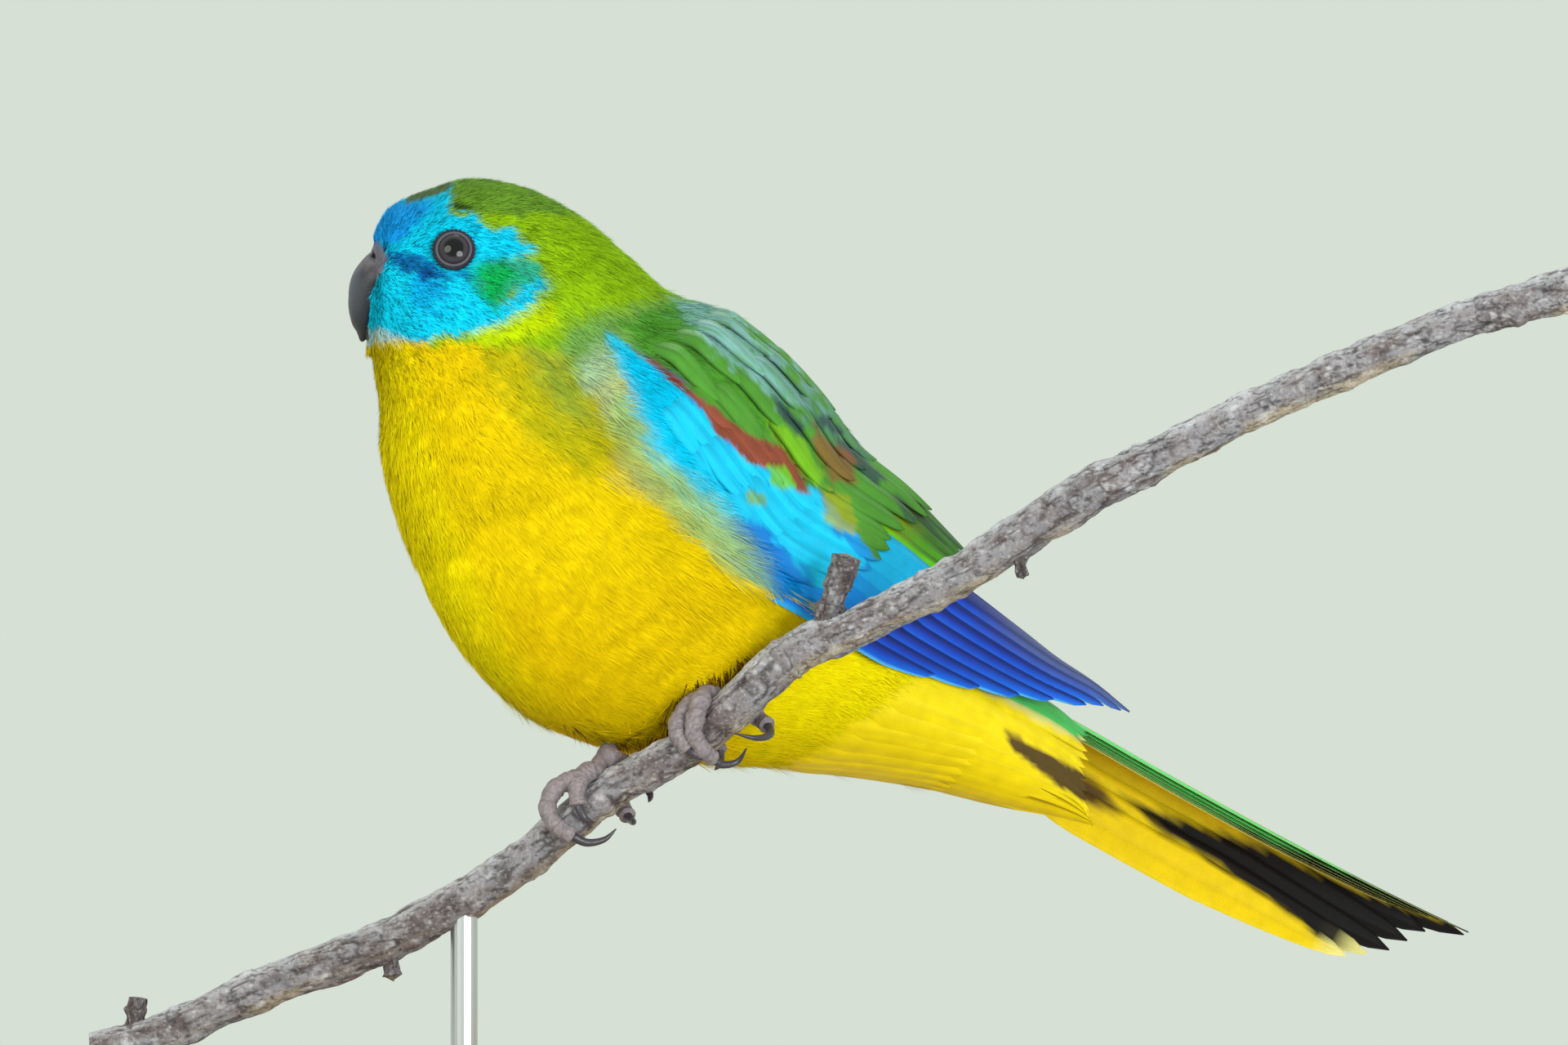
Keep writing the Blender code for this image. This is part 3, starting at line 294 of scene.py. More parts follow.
class Envelope:
    """Oval sections along a spine, with a smooth surface through them."""

    def __init__(self, sections: Sequence[Sequence[float]],
                 anchor: Tuple[int, float]) -> None:
        """Lays out the sections.

        Args:
            sections: back x, z, underside x, z, half width, yaw and roll of each.
            anchor: index of a section, and the depth of its centre.
        """
        frames = [axes_of(row[5], row[6]) for row in sections]
        backs, sides, flat = [], [], []
        for row, (front, left, top) in zip(sections, frames):
            chord = np.array((row[0] - row[2], row[1] - row[3])) / 2
            half = np.linalg.norm(chord)
            side = left * row[4]
            along = np.dot((side[0], side[2]), chord / half)
            share = math.sqrt(max(half**2 - along**2, 0.25 * half**2)) / half
            backs.append(in_plane(front, top, *(chord * share)))
            sides.append(side)
            flat.append(((row[0] + row[2]) / 2, (row[1] + row[3]) / 2))
        depth = [0.0]
        for i in range(1, len(sections)):
            front = frames[i - 1][0] + frames[i][0]
            x, z = flat[i][0] - flat[i - 1][0], flat[i][1] - flat[i - 1][1]
            depth.append(depth[-1] + in_plane(front, frames[i][2], x, z)[1])
        base = depth[anchor[0]] - anchor[1]
        self.middle = np.array([(x, d - base, z) for (x, z), d in zip(flat, depth)])
        self.back = np.array(backs)
        self.side = np.array(sides)

    def at(self, s: Array, angle: Array) -> Array:
        """Points at s along the spine and angle round it: 0 back, +90 the left.

        Args:
            s, angle: places along the spine and round it.
        Returns:
            A point for each place.
        """
        s, angle = np.broadcast_arrays(np.asarray(s, float), np.asarray(angle, float))
        turn = np.radians(angle)[..., None]
        return (
            spline(self.middle, s)
            + np.cos(turn) * spline(self.back, s)
            + np.sin(turn) * spline(self.side, s)
        )

    def normal(self, s: Array, angle: Array) -> Array:
        """Outward unit normals at the same places.

        Args:
            s, angle: places along the spine and round it.
        Returns:
            A direction for each place.
        """
        s, angle = np.asarray(s, float), np.asarray(angle, float)
        along = self.at(s + 0.05, angle) - self.at(s - 0.05, angle)
        around = self.at(s, angle + 1.0) - self.at(s, angle - 1.0)
        return unit(np.cross(around, along))

    def raised(self, s: Array, angle: Array, height: Array) -> Array:
        """Points that height above the surface."""
        return self.at(s, angle) + self.normal(s, angle) * np.asarray(height)[..., None]


def in_polygon(u: Array, v: Array, corners: Pixels) -> Array:
    """Signed distance in pixels to the edge of a polygon, positive inside.

    Args:
        u, v: pixel places.
        corners: the polygon.
    Returns:
        The distance for each place.
    """
    ring = np.array(corners, dtype=float)
    inside = np.zeros(u.shape, dtype=bool)
    best = np.full(u.shape, 1e9)
    for (ax, ay), (bx, by) in zip(ring, np.roll(ring, -1, axis=0)):
        crosses = (ay > v) != (by > v)
        with np.errstate(divide="ignore", invalid="ignore"):
            at = (bx - ax) * (v - ay) / (by - ay) + ax
        inside ^= crosses & (u < at)
        dx, dy = bx - ax, by - ay
        share = np.clip(((u - ax) * dx + (v - ay) * dy) / (dx * dx + dy * dy), 0, 1)
        best = np.minimum(best, np.hypot(u - ax - share * dx, v - ay - share * dy))
    return np.where(inside, best, -best)


@dataclass(frozen=True)
class Patch:
    """A marking of the plumage, drawn where the view shows it.

    soft is the width of its edge in pixels, ragged how far that wanders, and streak
    the share that is taken out in lines.
    """

    colour: Colour
    corners: Pixels
    soft: float = 6.0
    ragged: float = 5.0
    strength: float = 1.0
    streak: float = 0.0


# Dark bar across the long under tail coverts
TAIL_BAR = ((1228, 893), (1290, 925), (1340, 957), (1368, 984), (1368, 996), (1334, 986),
            (1290, 957), (1254, 930), (1236, 910))
# Painted in this order, each over those before it
PATCHES: Tuple[Patch, ...] = (
    # painted light: the breast's left edge is brightened against its shade; the lower belly is a
    # deeper yellow
    Patch((255, 226, 0), ((420, 430), (500, 430), (540, 600), (600, 760), (700, 880), (640, 920),
      (500, 740), (430, 560)), 60, 10, 0.9),
    Patch((238, 188, 0), ((620, 740), (900, 700), (960, 790), (900, 930), (760, 950), (640, 880)),
      50, 20, 0.35),
    # under everything on the wing and mantle
    Patch((76, 142, 40), ((742, 400), (850, 340), (1000, 440), (1220, 690), (1100, 720), (1000,
      640), (900, 560), (800, 470)), 8, 4),
    Patch((0, 150, 226), ((744, 404), (775, 416), (850, 480), (940, 560), (1010, 606), (1078, 690),
      (1078, 772), (960, 734), (936, 704), (900, 652), (850, 600), (802, 562), (780, 500)), 5, 5),
    # olive wash at the side of the breast
    Patch((160, 166, 16), ((560, 400), (760, 395), (800, 480), (790, 560), (740, 584), (680, 566),
      (630, 510), (596, 450)), 40, 18, 0.72, 0.2),
    Patch((104, 150, 58), ((656, 424), (720, 426), (752, 470), (726, 526), (684, 500), (660, 466)),
      30, 14, 0.6, 0.2),
    # nape and hind neck
    Patch((146, 190, 16), ((560, 150), (900, 150), (880, 400), (800, 420), (720, 440), (640, 425),
      (560, 424), (520, 425), (540, 300)), 10, 8),
    Patch((196, 220, 0), ((590, 400), (650, 382), (684, 372), (690, 398), (640, 420), (580, 424)),
      8, 6, 0.9),
    Patch((160, 206, 10), ((680, 290), (730, 300), (760, 380), (700, 400), (676, 340)), 18, 10,
      0.6),
    # crown
    Patch((112, 158, 44), ((545, 150), (800, 150), (720, 264), (660, 258), (606, 260), (552, 258),
      (545, 226)), 9, 8),
    # green blending down the neck side to the shoulder
    Patch((112, 164, 84), ((700, 400), (840, 360), (900, 430), (800, 450), (740, 470), (690, 440)),
      18, 10, 0.85),
    # mantle and scapulars
    Patch((78, 146, 44), ((770, 395), (850, 365), (900, 392), (975, 452), (1075, 552), (1200, 690),
      (1120, 700), (1010, 606), (975, 570), (900, 510), (830, 455), (790, 432)), 9, 7),
    # painted sheen: pale blue-grey streaks over the green mantle
    Patch((150, 198, 214), ((836, 352), (890, 376), (950, 428), (1012, 500), (968, 500), (900,
      448), (850, 408)), 16, 16, 0.62, 0.6),
    Patch((84, 124, 124), ((940, 440), (1000, 480), (1080, 566), (1040, 560), (970, 500)), 14, 14,
      0.5, 0.5),
    Patch((40, 60, 74), ((948, 488), (960, 492), (986, 524), (992, 545), (972, 528), (956, 508)),
      4, 3, 0.85),
    Patch((44, 62, 76), ((1000, 508), (1018, 511), (1036, 528), (1022, 532)), 4, 3, 0.8),
    Patch((44, 62, 76), ((1020, 534), (1042, 542), (1086, 586), (1074, 594), (1040, 564)), 4, 3,
      0.8),
    Patch((50, 68, 70), ((1086, 598), (1110, 610), (1136, 642), (1118, 640), (1098, 618)), 4, 3,
      0.7),
    Patch((124, 190, 6), ((940, 512), (985, 535), (1005, 580), (1000, 600), (966, 562)), 8, 6,
      0.8),
    # turquoise coverts
    Patch((0, 196, 240), ((748, 408), (775, 426), (832, 474), (870, 512), (880, 530), (925, 566),
      (960, 580), (1000, 600), (1012, 622), (1025, 653), (1062, 690), (1020, 730), (960, 734),
      (926, 704), (888, 656), (838, 604), (798, 562), (780, 500)), 5, 5),
    Patch((0, 116, 214), ((880, 650), (930, 640), (990, 700), (1010, 740), (960, 730), (930, 704)),
      14, 8, 0.9),
    # chestnut band and its second patch
    Patch((140, 68, 46), ((788, 436), (806, 444), (863, 490), (921, 536), (958, 546), (984, 578),
      (992, 606), (976, 600), (957, 578), (921, 567), (874, 530), (864, 505), (829, 472)), 4, 3),
    Patch((140, 88, 44), ((998, 522), (1046, 562), (1048, 592), (1020, 586), (1004, 560)), 6, 6,
      0.8),
    Patch((110, 190, 26), ((940, 570), (962, 572), (976, 596), (958, 598), (944, 590)), 3, 3, 0.9),
    Patch((120, 160, 50), ((914, 604), (936, 604), (938, 618), (918, 620)), 4, 4, 0.8),
    Patch((150, 160, 20), ((1004, 594), (1040, 610), (1048, 648), (1026, 650), (1010, 634)), 6, 6,
      0.8),
    # grey-green side of the breast along the wing
    Patch((176, 200, 170), ((722, 440), (752, 424), (790, 500), (812, 556), (790, 566), (744, 500),
      (722, 470)), 16, 10, 0.65, 0.3),
    Patch((160, 192, 112), ((764, 470), (796, 520), (824, 562), (884, 616), (944, 690), (954, 726),
      (906, 700), (830, 640), (780, 590), (756, 540)), 14, 8, 0.9, 0.3),
    Patch((160, 156, 96), ((758, 556), (800, 566), (826, 606), (800, 618), (762, 594)), 12, 8, 0.6,
      0.4),
    # face
    Patch((8, 212, 255), ((420, 300), (420, 200), (552, 190), (556, 258), (586, 262), (598, 276),
      (632, 284), (636, 298), (655, 300), (660, 312), (636, 318), (600, 326), (588, 336), (592,
      356), (612, 380), (640, 356), (664, 342), (678, 343), (672, 356), (640, 384), (600, 402),
      (560, 414), (520, 420), (420, 422)), 4, 6),
    Patch((20, 166, 255), ((430, 300), (430, 240), (500, 238), (530, 244), (512, 270), (488, 290),
      (462, 296)), 14, 8, 1.0),
    Patch((16, 176, 150), ((588, 322), (622, 312), (655, 318), (674, 330), (664, 344), (640, 356),
      (612, 384), (590, 366), (576, 344)), 9, 7, 0.9),
    Patch((0, 178, 76), ((596, 330), (622, 322), (640, 340), (616, 372), (596, 360)), 11, 8, 0.9),
    Patch((8, 70, 150), ((466, 296), (490, 302), (510, 312), (532, 322), (552, 334), (572, 336),
      (556, 346), (536, 348), (514, 344), (496, 334), (476, 320)), 8, 8, 0.85),
    Patch((10, 60, 130), ((516, 326), (544, 336), (540, 344), (520, 340)), 6, 4, 0.8),
    Patch((6, 120, 220), ((500, 340), (552, 346), (540, 384), (516, 380)), 14, 12, 0.4),
    Patch((214, 236, 226), ((430, 404), (462, 408), (494, 417), (486, 424), (430, 424)), 4, 4,
      0.8),
    # painted shadow of a small gap in the crown feathers
    Patch((14, 24, 20), ((552, 245), (566, 244), (580, 249), (590, 254), (572, 254), (558, 250)),
      2, 1, 0.8),
    Patch((96, 122, 78), ((498, 243), (520, 238), (551, 227), (562, 200), (490, 200)), 4, 3),
    # the strip of green above the tail's left edge, and the dark bar below it
    Patch((84, 204, 100), ((1180, 806), (1290, 830), (1350, 880), (1440, 930), (1440, 970), (1360,
      926), (1208, 842)), 5, 3),
    Patch((250, 220, 0), ((1196, 846), (1208, 846), (1366, 930), (1460, 978), (1460, 1010), (1340,
      980), (1240, 900)), 4, 2, 0.95),
    Patch((240, 226, 140), ((1196, 838), (1210, 840), (1366, 926), (1366, 932), (1204, 848)), 3, 2,
      0.7),
    Patch((70, 44, 26), TAIL_BAR, 3, 1.5, 0.95),
)
# Tail underside: dark webs that show between the yellow outer feathers
TAIL_DARK = ((1376, 976), (1440, 1000), (1483, 1014), (1561, 1043), (1640, 1079), (1690, 1100),
             (1736, 1118), (1800, 1136), (1812, 1150), (1700, 1180), (1668, 1172), (1648, 1169),
             (1609, 1142), (1561, 1106), (1483, 1055), (1420, 1016))


def wing_rise(s: Array, angle: Array) -> Array:
    """How far the folded wing lifts the coat at these places.

    Args:
        s, angle: places along the spine and round it.
    Returns:
        The rise in millimetres.
    """
    left = np.abs((angle + 180.0) % 360.0 - 180.0)
    low_edge = 88.0 + 4.0 * smooth(8.5, 11.5, s)
    up = smooth(0.0, 26.0, left) * smooth(low_edge + 6.0, low_edge - 3.0, left)
    return 3.4 * up * smooth(6.6, 8.6, s) * smooth(13.6, 12.2, s)


def rump_sink(s: Array) -> Array:
    """How far the coverts sink into the root of the tail."""
    return 0.9 * smooth(15.5, 17.5, s) + 2.4 * smooth(17.0, 19.0, s)


class Markings:
    """Colours of the plumage from the patches."""

    def __init__(self, body: Envelope) -> None:
        """Keeps the envelope that the patches are drawn on."""
        self.body = body

    def at(self, s: Array, angle: Array) -> Array:
        """Linear colours at places on the body.

        Args:
            s: places along the spine.
            angle: places round it, either side.
        Returns:
            One colour for each place.
        """
        left = np.abs((angle + 180.0) % 360.0 - 180.0)
        rise = 0.8 * wing_rise(s, left) - rump_sink(s)
        return self.shown(self.body.raised(s, left, rise), s, left)

    @staticmethod
    def shown(points: Array, s: Array, left: Array) -> Array:
        """Linear colours of points on the left side.

        Args:
            points: where they are, in layout millimetres.
            s, left: their places along the spine and round it.
        Returns:
            One colour for each point.
        """
        u, v = on_view(points)
        colour = filled(s.shape, 238, 203, 0)
        # painted light: the yellow grows brighter toward the flank and vent, lifting their shade
        colour = mix(colour, rgb(255, 226, 0), smooth(11.0, 13.5, s))
        jag = noise(points, 1.5, 3)
        fine = noise(points, 0.5, 5)
        run = np.stack((s * 3.0, left * 0.9, np.zeros_like(s)), axis=-1)
        lines = noise(run, 1.0, 8)
        # upper tail coverts and rump are green above
        above = smooth(78.0, 62.0, left + 5.0 * jag) * smooth(11.0, 12.4, s)
        colour = mix(colour, rgb(76, 160, 52), above)
        for patch in PATCHES:
            edge = in_polygon(u, v, patch.corners) + patch.ragged * (jag + 0.6 * fine)
            share = smooth(-patch.soft / 2, patch.soft / 2, edge) * patch.strength
            if patch.streak:
                share = share * (1 - patch.streak * smooth(-0.1, 0.5, lines))
            colour = mix(colour, rgb(*patch.colour), share)
        return colour


class Nodes:
    """Shader groups, each built once, and the materials that use them."""

    groups: Dict[str, Tree] = {}
    made: Dict[str, bpy.types.Material] = {}

    @classmethod
    def group(cls, name: str, inputs: Dict[str, float], output: str, kind: str,
              build: Callable[[Tree, Node, Node], None]
              ) -> Tree:
        """A node group with a Vector input, number inputs and one output.

        Args:
            name: the group's name.
            inputs: its number inputs and what they start at.
            output, kind: name and socket type of its output.
            build: wires its input node to its output node.
        Returns:
            The group.
        """
        if name in cls.groups:
            return cls.groups[name]
        tree = bpy.data.node_groups.new(name, "ShaderNodeTree")
        tree.interface.new_socket(name="Vector", in_out="INPUT", socket_type="NodeSocketVector")
        tree.interface.new_socket(name="Color", in_out="INPUT", socket_type="NodeSocketColor")
        for label, value in inputs.items():
            socket = tree.interface.new_socket(
                name=label, in_out="INPUT", socket_type="NodeSocketFloat"
            )
            socket.default_value = value
        tree.interface.new_socket(name=output, in_out="OUTPUT", socket_type=kind)
        build(tree, tree.nodes.new("NodeGroupInput"), tree.nodes.new("NodeGroupOutput"))
        cls.groups[name] = tree
        return tree

    @staticmethod
    def node(tree: Tree, kind: str,
             feeds: Sequence[Tuple[Union[str, int], Socket]],
             values: Optional[Dict[Union[str, int], Any]] = None,
             **settings: str) -> Node:
        """Adds one node and wires it up.

        Args:
            tree: where it goes.
            kind: its type, without the ShaderNode before it.
            feeds: pairs of an input and the socket that feeds it.
            values: inputs set to a constant.
            settings: attributes of the node.
        Returns:
            The node.
        """
        made = tree.nodes.new("ShaderNode" + kind)
        for key, value in settings.items():
            setattr(made, key, value)
        for key, value in (values or {}).items():
            made.inputs[key].default_value = value
        for key, source in feeds:
            tree.links.new(source, made.inputs[key])
        return made

    @classmethod
    def noise_node(cls, tree: Tree, vector: Socket, scale: float,
                   detail: float = 4.0) -> Socket:
        """The value of a noise texture that reads vector."""
        values = {"Scale": scale, "Detail": detail}
        return cls.node(tree, "TexNoise", [("Vector", vector)], values).outputs["Fac"]

    @classmethod
    def ramp(cls, tree: Tree, source: Socket,
             span: Tuple[float, float], to: Tuple[float, float]) -> Socket:
        """A clamped linear map of source, from span to to."""
        values = dict(zip(("From Min", "From Max", "To Min", "To Max"), span + to))
        return cls.node(tree, "MapRange", [("Value", source)], values).outputs["Result"]

    @classmethod
    def scaled(cls, tree: Tree, start: Node) -> Socket:
        """A group's Vector input times its Scale input."""
        feeds = [(0, start.outputs["Vector"]), ("Scale", start.outputs["Scale"])]
        return cls.node(tree, "VectorMath", feeds, operation="SCALE").outputs[0]

    @classmethod
    def tone_group(cls) -> Tree:
        """Breaks a colour up with soft noise."""

        def build(tree: Tree, start: Node, end: Node) -> None:
            """Wires start to end.

            Args:
                tree: the group's nodes.
                start, end: its input and output nodes.
            """
            big = cls.noise_node(tree, cls.scaled(tree, start), 1.0)
            value = cls.ramp(tree, big, (0.3, 0.7), (0.93, 1.06))
            feeds = [("Color", start.outputs["Color"]), ("Value", value)]
            hue = cls.node(tree, "HueSaturation", feeds)
            tree.links.new(hue.outputs["Color"], end.inputs["Color"])

        return cls.group("soft_tone", {"Scale": 300.0}, "Color", "NodeSocketColor", build)

    @classmethod
    def barb_group(cls) -> Tree:
        """Height of the fine barbs of a vane from its own (along, across)."""

        def build(tree: Tree, start: Node, end: Node) -> None:
            """Wires start to end.

            Args:
                tree: the group's nodes.
                start, end: its input and output nodes.
            """
            split = cls.node(tree, "SeparateXYZ", [(0, start.outputs["Vector"])])
            lean = cls.node(tree, "Math", [(0, split.outputs["Y"])], operation="ABSOLUTE")
            feeds = [(0, split.outputs["X"]), (1, lean.outputs[0])]
            slant = cls.node(tree, "Math", feeds, operation="SUBTRACT")
            feeds = [(0, slant.outputs[0]), (1, start.outputs["Scale"])]
            phase = cls.node(tree, "Math", feeds, operation="MULTIPLY")
            wave = cls.node(tree, "Math", [(0, phase.outputs[0])], operation="SINE")
            tree.links.new(wave.outputs[0], end.inputs["Height"])

        return cls.group("barb_lines", {"Scale": 22.0}, "Height", "NodeSocketFloat", build)

    @classmethod
    def bark_group(cls) -> Tree:
        """Colour of weathered bark."""

        def build(tree: Tree, start: Node, end: Node) -> None:
            """Wires start to end.

            Args:
                tree: the group's nodes.
                start, end: its input and output nodes.
            """
            vector = cls.scaled(tree, start)
            patches = cls.noise_node(tree, vector, 0.35, 6.0)
            specks = cls.noise_node(tree, vector, 2.2, 8.0)
            colour = start.outputs["Color"]
            for tone, source, span, most in (
                    (rgb(118, 98, 92), patches, (0.42, 0.6), 0.25),
                    (rgb(216, 208, 202), specks, (0.55, 0.7), 0.3),
                    (rgb(54, 42, 42), specks, (0.44, 0.32), 0.45)):
                share = cls.ramp(tree, source, span, (0.0, most))
                mixed = cls.node(tree, "Mix", [(6, colour), (0, share)], {7: (*tone, 1.0)},
                                 data_type="RGBA")
                colour = mixed.outputs[2]
            tree.links.new(colour, end.inputs["Color"])

        return cls.group("bark_colour", {"Scale": 900.0}, "Color", "NodeSocketColor", build)

    @classmethod
    def material(cls, finish: Finish) -> bpy.types.Material:
        """The material of a finish, made once.

        Args:
            finish: what it looks like.
        Returns:
            The material.
        """
        if finish.name in cls.made:
            return cls.made[finish.name]
        made = bpy.data.materials.new(finish.name)
        made.use_nodes = True
        tree = made.node_tree
        shader = tree.nodes["Principled BSDF"]
        shader.inputs["Base Color"].default_value = (*finish.colour, 1.0)
        shader.inputs["Roughness"].default_value = finish.roughness
        shader.inputs["Metallic"].default_value = finish.metallic
        shader.inputs["Coat Weight"].default_value = finish.coat
        shader.inputs["Specular IOR Level"].default_value = finish.specular
        made.diffuse_color = (*finish.colour, 1.0)
        if finish.kind != Kind.PLAIN:
            cls.pattern(tree, shader, finish)
        cls.made[finish.name] = made
        return made

    @classmethod
    def pattern(cls, tree: Tree, shader: Node, finish: Finish) -> None:
        """Adds the pattern of a finish to its material.

        Args:
            tree: the material's nodes.
            shader: its shader.
            finish: the finish.
        """
        tint = cls.node(tree, "VertexColor", [], layer_name="tint")
        place = cls.node(tree, "TexCoord", []).outputs["Object"]
        group = tree.nodes.new("ShaderNodeGroup")
        bark = finish.kind == Kind.BARK
        group.node_tree = cls.bark_group() if bark else cls.tone_group()
        if not bark:
            group.inputs["Scale"].default_value = TONE_SCALE
        tree.links.new(place, group.inputs["Vector"])
        tree.links.new(tint.outputs["Color"], group.inputs["Color"])
        tree.links.new(group.outputs["Color"], shader.inputs["Base Color"])
        if finish.kind == Kind.PLUMAGE:
            return
        if finish.kind == Kind.VANE:
            lines = tree.nodes.new("ShaderNodeGroup")
            lines.node_tree = cls.barb_group()
            along = cls.node(tree, "Attribute", [], attribute_name="blade")
            tree.links.new(along.outputs["Vector"], lines.inputs["Vector"])
            height = lines.outputs["Height"]
            value = cls.ramp(tree, height, (-1.0, 1.0), (0.84, 1.06))
            feeds = [("Color", group.outputs["Color"]), ("Value", value)]
            shade = cls.node(tree, "HueSaturation", feeds)
            tree.links.new(shade.outputs["Color"], shader.inputs["Base Color"])
            depth = {"Strength": 0.3, "Distance": 0.00008}
        else:
            height = cls.noise_node(tree, place, 2600.0 if bark else 2400.0, 6.0)
            depth = {"Strength": 0.9 if bark else 0.35, "Distance": 0.0002}
        bump = cls.node(tree, "Bump", [("Height", height)], depth)
        tree.links.new(bump.outputs["Normal"], shader.inputs["Normal"])


# Bumps of the soft tone in a metre
TONE_SCALE = 420.0
FINISHES: Dict[str, Finish] = {
    "coat": Finish("plumage_coat", Kind.PLUMAGE, roughness=0.85, specular=0.08),
    "vane": Finish("plumage_vane", Kind.VANE, roughness=0.55, specular=0.22),
    "horn": Finish("horn", Kind.HORN, roughness=0.45, specular=0.4),
    "claw": Finish("claw", Kind.HORN, roughness=0.3, specular=0.5),
    "scales": Finish("scales", Kind.SCALES, roughness=0.6, specular=0.35),
    "bark": Finish("bark", Kind.BARK, roughness=0.82, specular=0.25),
    "eye": Finish("eye", Kind.PLUMAGE, roughness=0.06, coat=0.2, specular=0.25),
    "steel": Finish("brushed_steel", Kind.PLAIN, (0.62, 0.63, 0.65), 0.34, 1.0),
    "wood": Finish("base_wood", Kind.PLAIN, (0.44, 0.28, 0.16), 0.5, specular=0.4),
    "floor": Finish("pale_floor", Kind.PLAIN, (0.56, 0.59, 0.56), 0.8, specular=0.2),
}


def build_mesh(name: str, points: Array, faces: Array, finish: Finish, tint: Array,
               patch: Optional[Array] = None, blade: Optional[Array] = None,
               normals: Optional[Array] = None, stands_for: Sequence[str] = ()) -> None:
    """One piece from layout points and faces of three or four corners.

    Args:
        name: the piece's name.
        points: its points in layout millimetres.
        faces: corner indices, one row a face, all rows as long.
        finish: its finish.
        tint: a colour for each point.
        patch: OFBake place of each point.
        blade: (along, across) of each point of a vane, in millimetres.
        normals: a normal for each point, where the faces' own are too rough.
        stands_for: CAD nodes that it replaces.
    """
    mesh = bpy.data.meshes.new(name)
    placed = (seen(points) + SHIFT) * MM
    count, corners = faces.shape
    mesh.vertices.add(len(placed))
    mesh.vertices.foreach_set("co", placed.astype(np.float32).ravel())
    mesh.loops.add(count * corners)
    mesh.loops.foreach_set("vertex_index", faces.astype(np.int32).ravel())
    mesh.polygons.add(count)
    mesh.polygons.foreach_set("loop_start", np.arange(0, count * corners, corners, dtype=np.int32))
    mesh.polygons.foreach_set("use_smooth", np.ones(count, dtype=bool))
    mesh.update(calc_edges=True)
    layer = mesh.color_attributes.new("tint", "FLOAT_COLOR", "POINT")
    full = np.concatenate((np.clip(tint, 0, 1), np.ones((len(tint), 1))), axis=1)
    layer.data.foreach_set("color", full.astype(np.float32).ravel())
    if blade is not None:
        layer = mesh.attributes.new("blade", "FLOAT_VECTOR", "POINT")
        full = np.concatenate((blade, np.zeros((len(blade), 1))), axis=1)
        layer.data.foreach_set("vector", full.astype(np.float32).ravel())
    if normals is not None:
        mesh.normals_split_custom_set_from_vertices(normals.astype(np.float32))
    if patch is not None:
        layer = mesh.uv_layers.new(name="OFBake")
        layer.data.foreach_set("uv", patch[faces.ravel()].astype(np.float32).ravel())
    made = bpy.data.objects.new(name, mesh)
    bpy.context.scene.collection.objects.link(made)
    mesh.materials.append(Nodes.material(finish))
    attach(made, "root")
    if stands_for:
        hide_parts(*stands_for)
    LOG.info("%s: %d faces", name, count)


def grid_faces(rows: int, columns: int, closed: bool) -> Array:
    """Quads of a grid, whose columns may close into rings.

    Args:
        rows, columns: points in the grid.
        closed: whether the columns close into rings.
    Returns:
        Corner indices, one row a face.
    """
    i = np.arange(rows - 1)[:, None]
    j = np.arange(columns if closed else columns - 1)[None, :]
    a = i * columns + j
    b = i * columns + (j + 1) % columns
    return np.stack((a, a + columns, b + columns, b), axis=-1).reshape(-1, 4)


def joined(parts: Sequence[Mesh]) -> Mesh:
    """Several meshes as one.

    Args:
        parts: points, faces and tints of each.
    Returns:
        Points, faces and tints of them all.
    """
    starts = np.cumsum([0] + [len(part[0]) for part in parts])
    faces = [part[1] + start for part, start in zip(parts, starts)]
    return (np.concatenate([part[0] for part in parts]), np.concatenate(faces),
            np.concatenate([part[2] for part in parts]))


def run_along(line: Array) -> Array:
    """Distance from the start of a line to each of its points."""
    return np.concatenate(((0.0,), np.cumsum(np.linalg.norm(np.diff(line, axis=0), axis=1))))


def round_turn(sides: int) -> Array:
    """Angles in radians of so many points round a ring."""
    return np.arange(sides) * 2 * math.pi / sides


def tube_points(line: Array, radii: Array, sides: int, ripple: Optional[Array] = None) -> Array:
    """Rings round a line, closed to a point at both ends.

    Args:
        line: the middle points.
        radii: a radius for each.
        sides: points in a ring.
        ripple: factor on the radius for each point, by ring and side.
    Returns:
        The points, ring by ring.
    """
    tangent = unit(np.gradient(line, axis=0))
    guide = np.array((0.0, 1.0, 0.0))
    if np.abs(tangent[:, 1]).max() > 0.9:
        guide = np.array((0.31, 0.0, 0.95))
    first = unit(np.cross(tangent, guide))
    second = np.cross(tangent, first)
    turn = round_turn(sides)
    out = first[:, None] * np.cos(turn)[None, :, None]
    out = out + second[:, None] * np.sin(turn)[None, :, None]
    size = radii[:, None] * (1.0 if ripple is None else ripple)
    rings = line[:, None] + out * size[..., None]
    ends = []
    for at, step in ((0, -1), (-1, 1)):
        cap = line[at] + tangent[at] * radii[at] * 0.35 * step
        ends.append(np.broadcast_to(cap, (1, sides, 3)) + (rings[at] - line[at])[None] * 0.02)
    return np.concatenate((ends[0], rings, ends[1])).reshape(-1, 3)


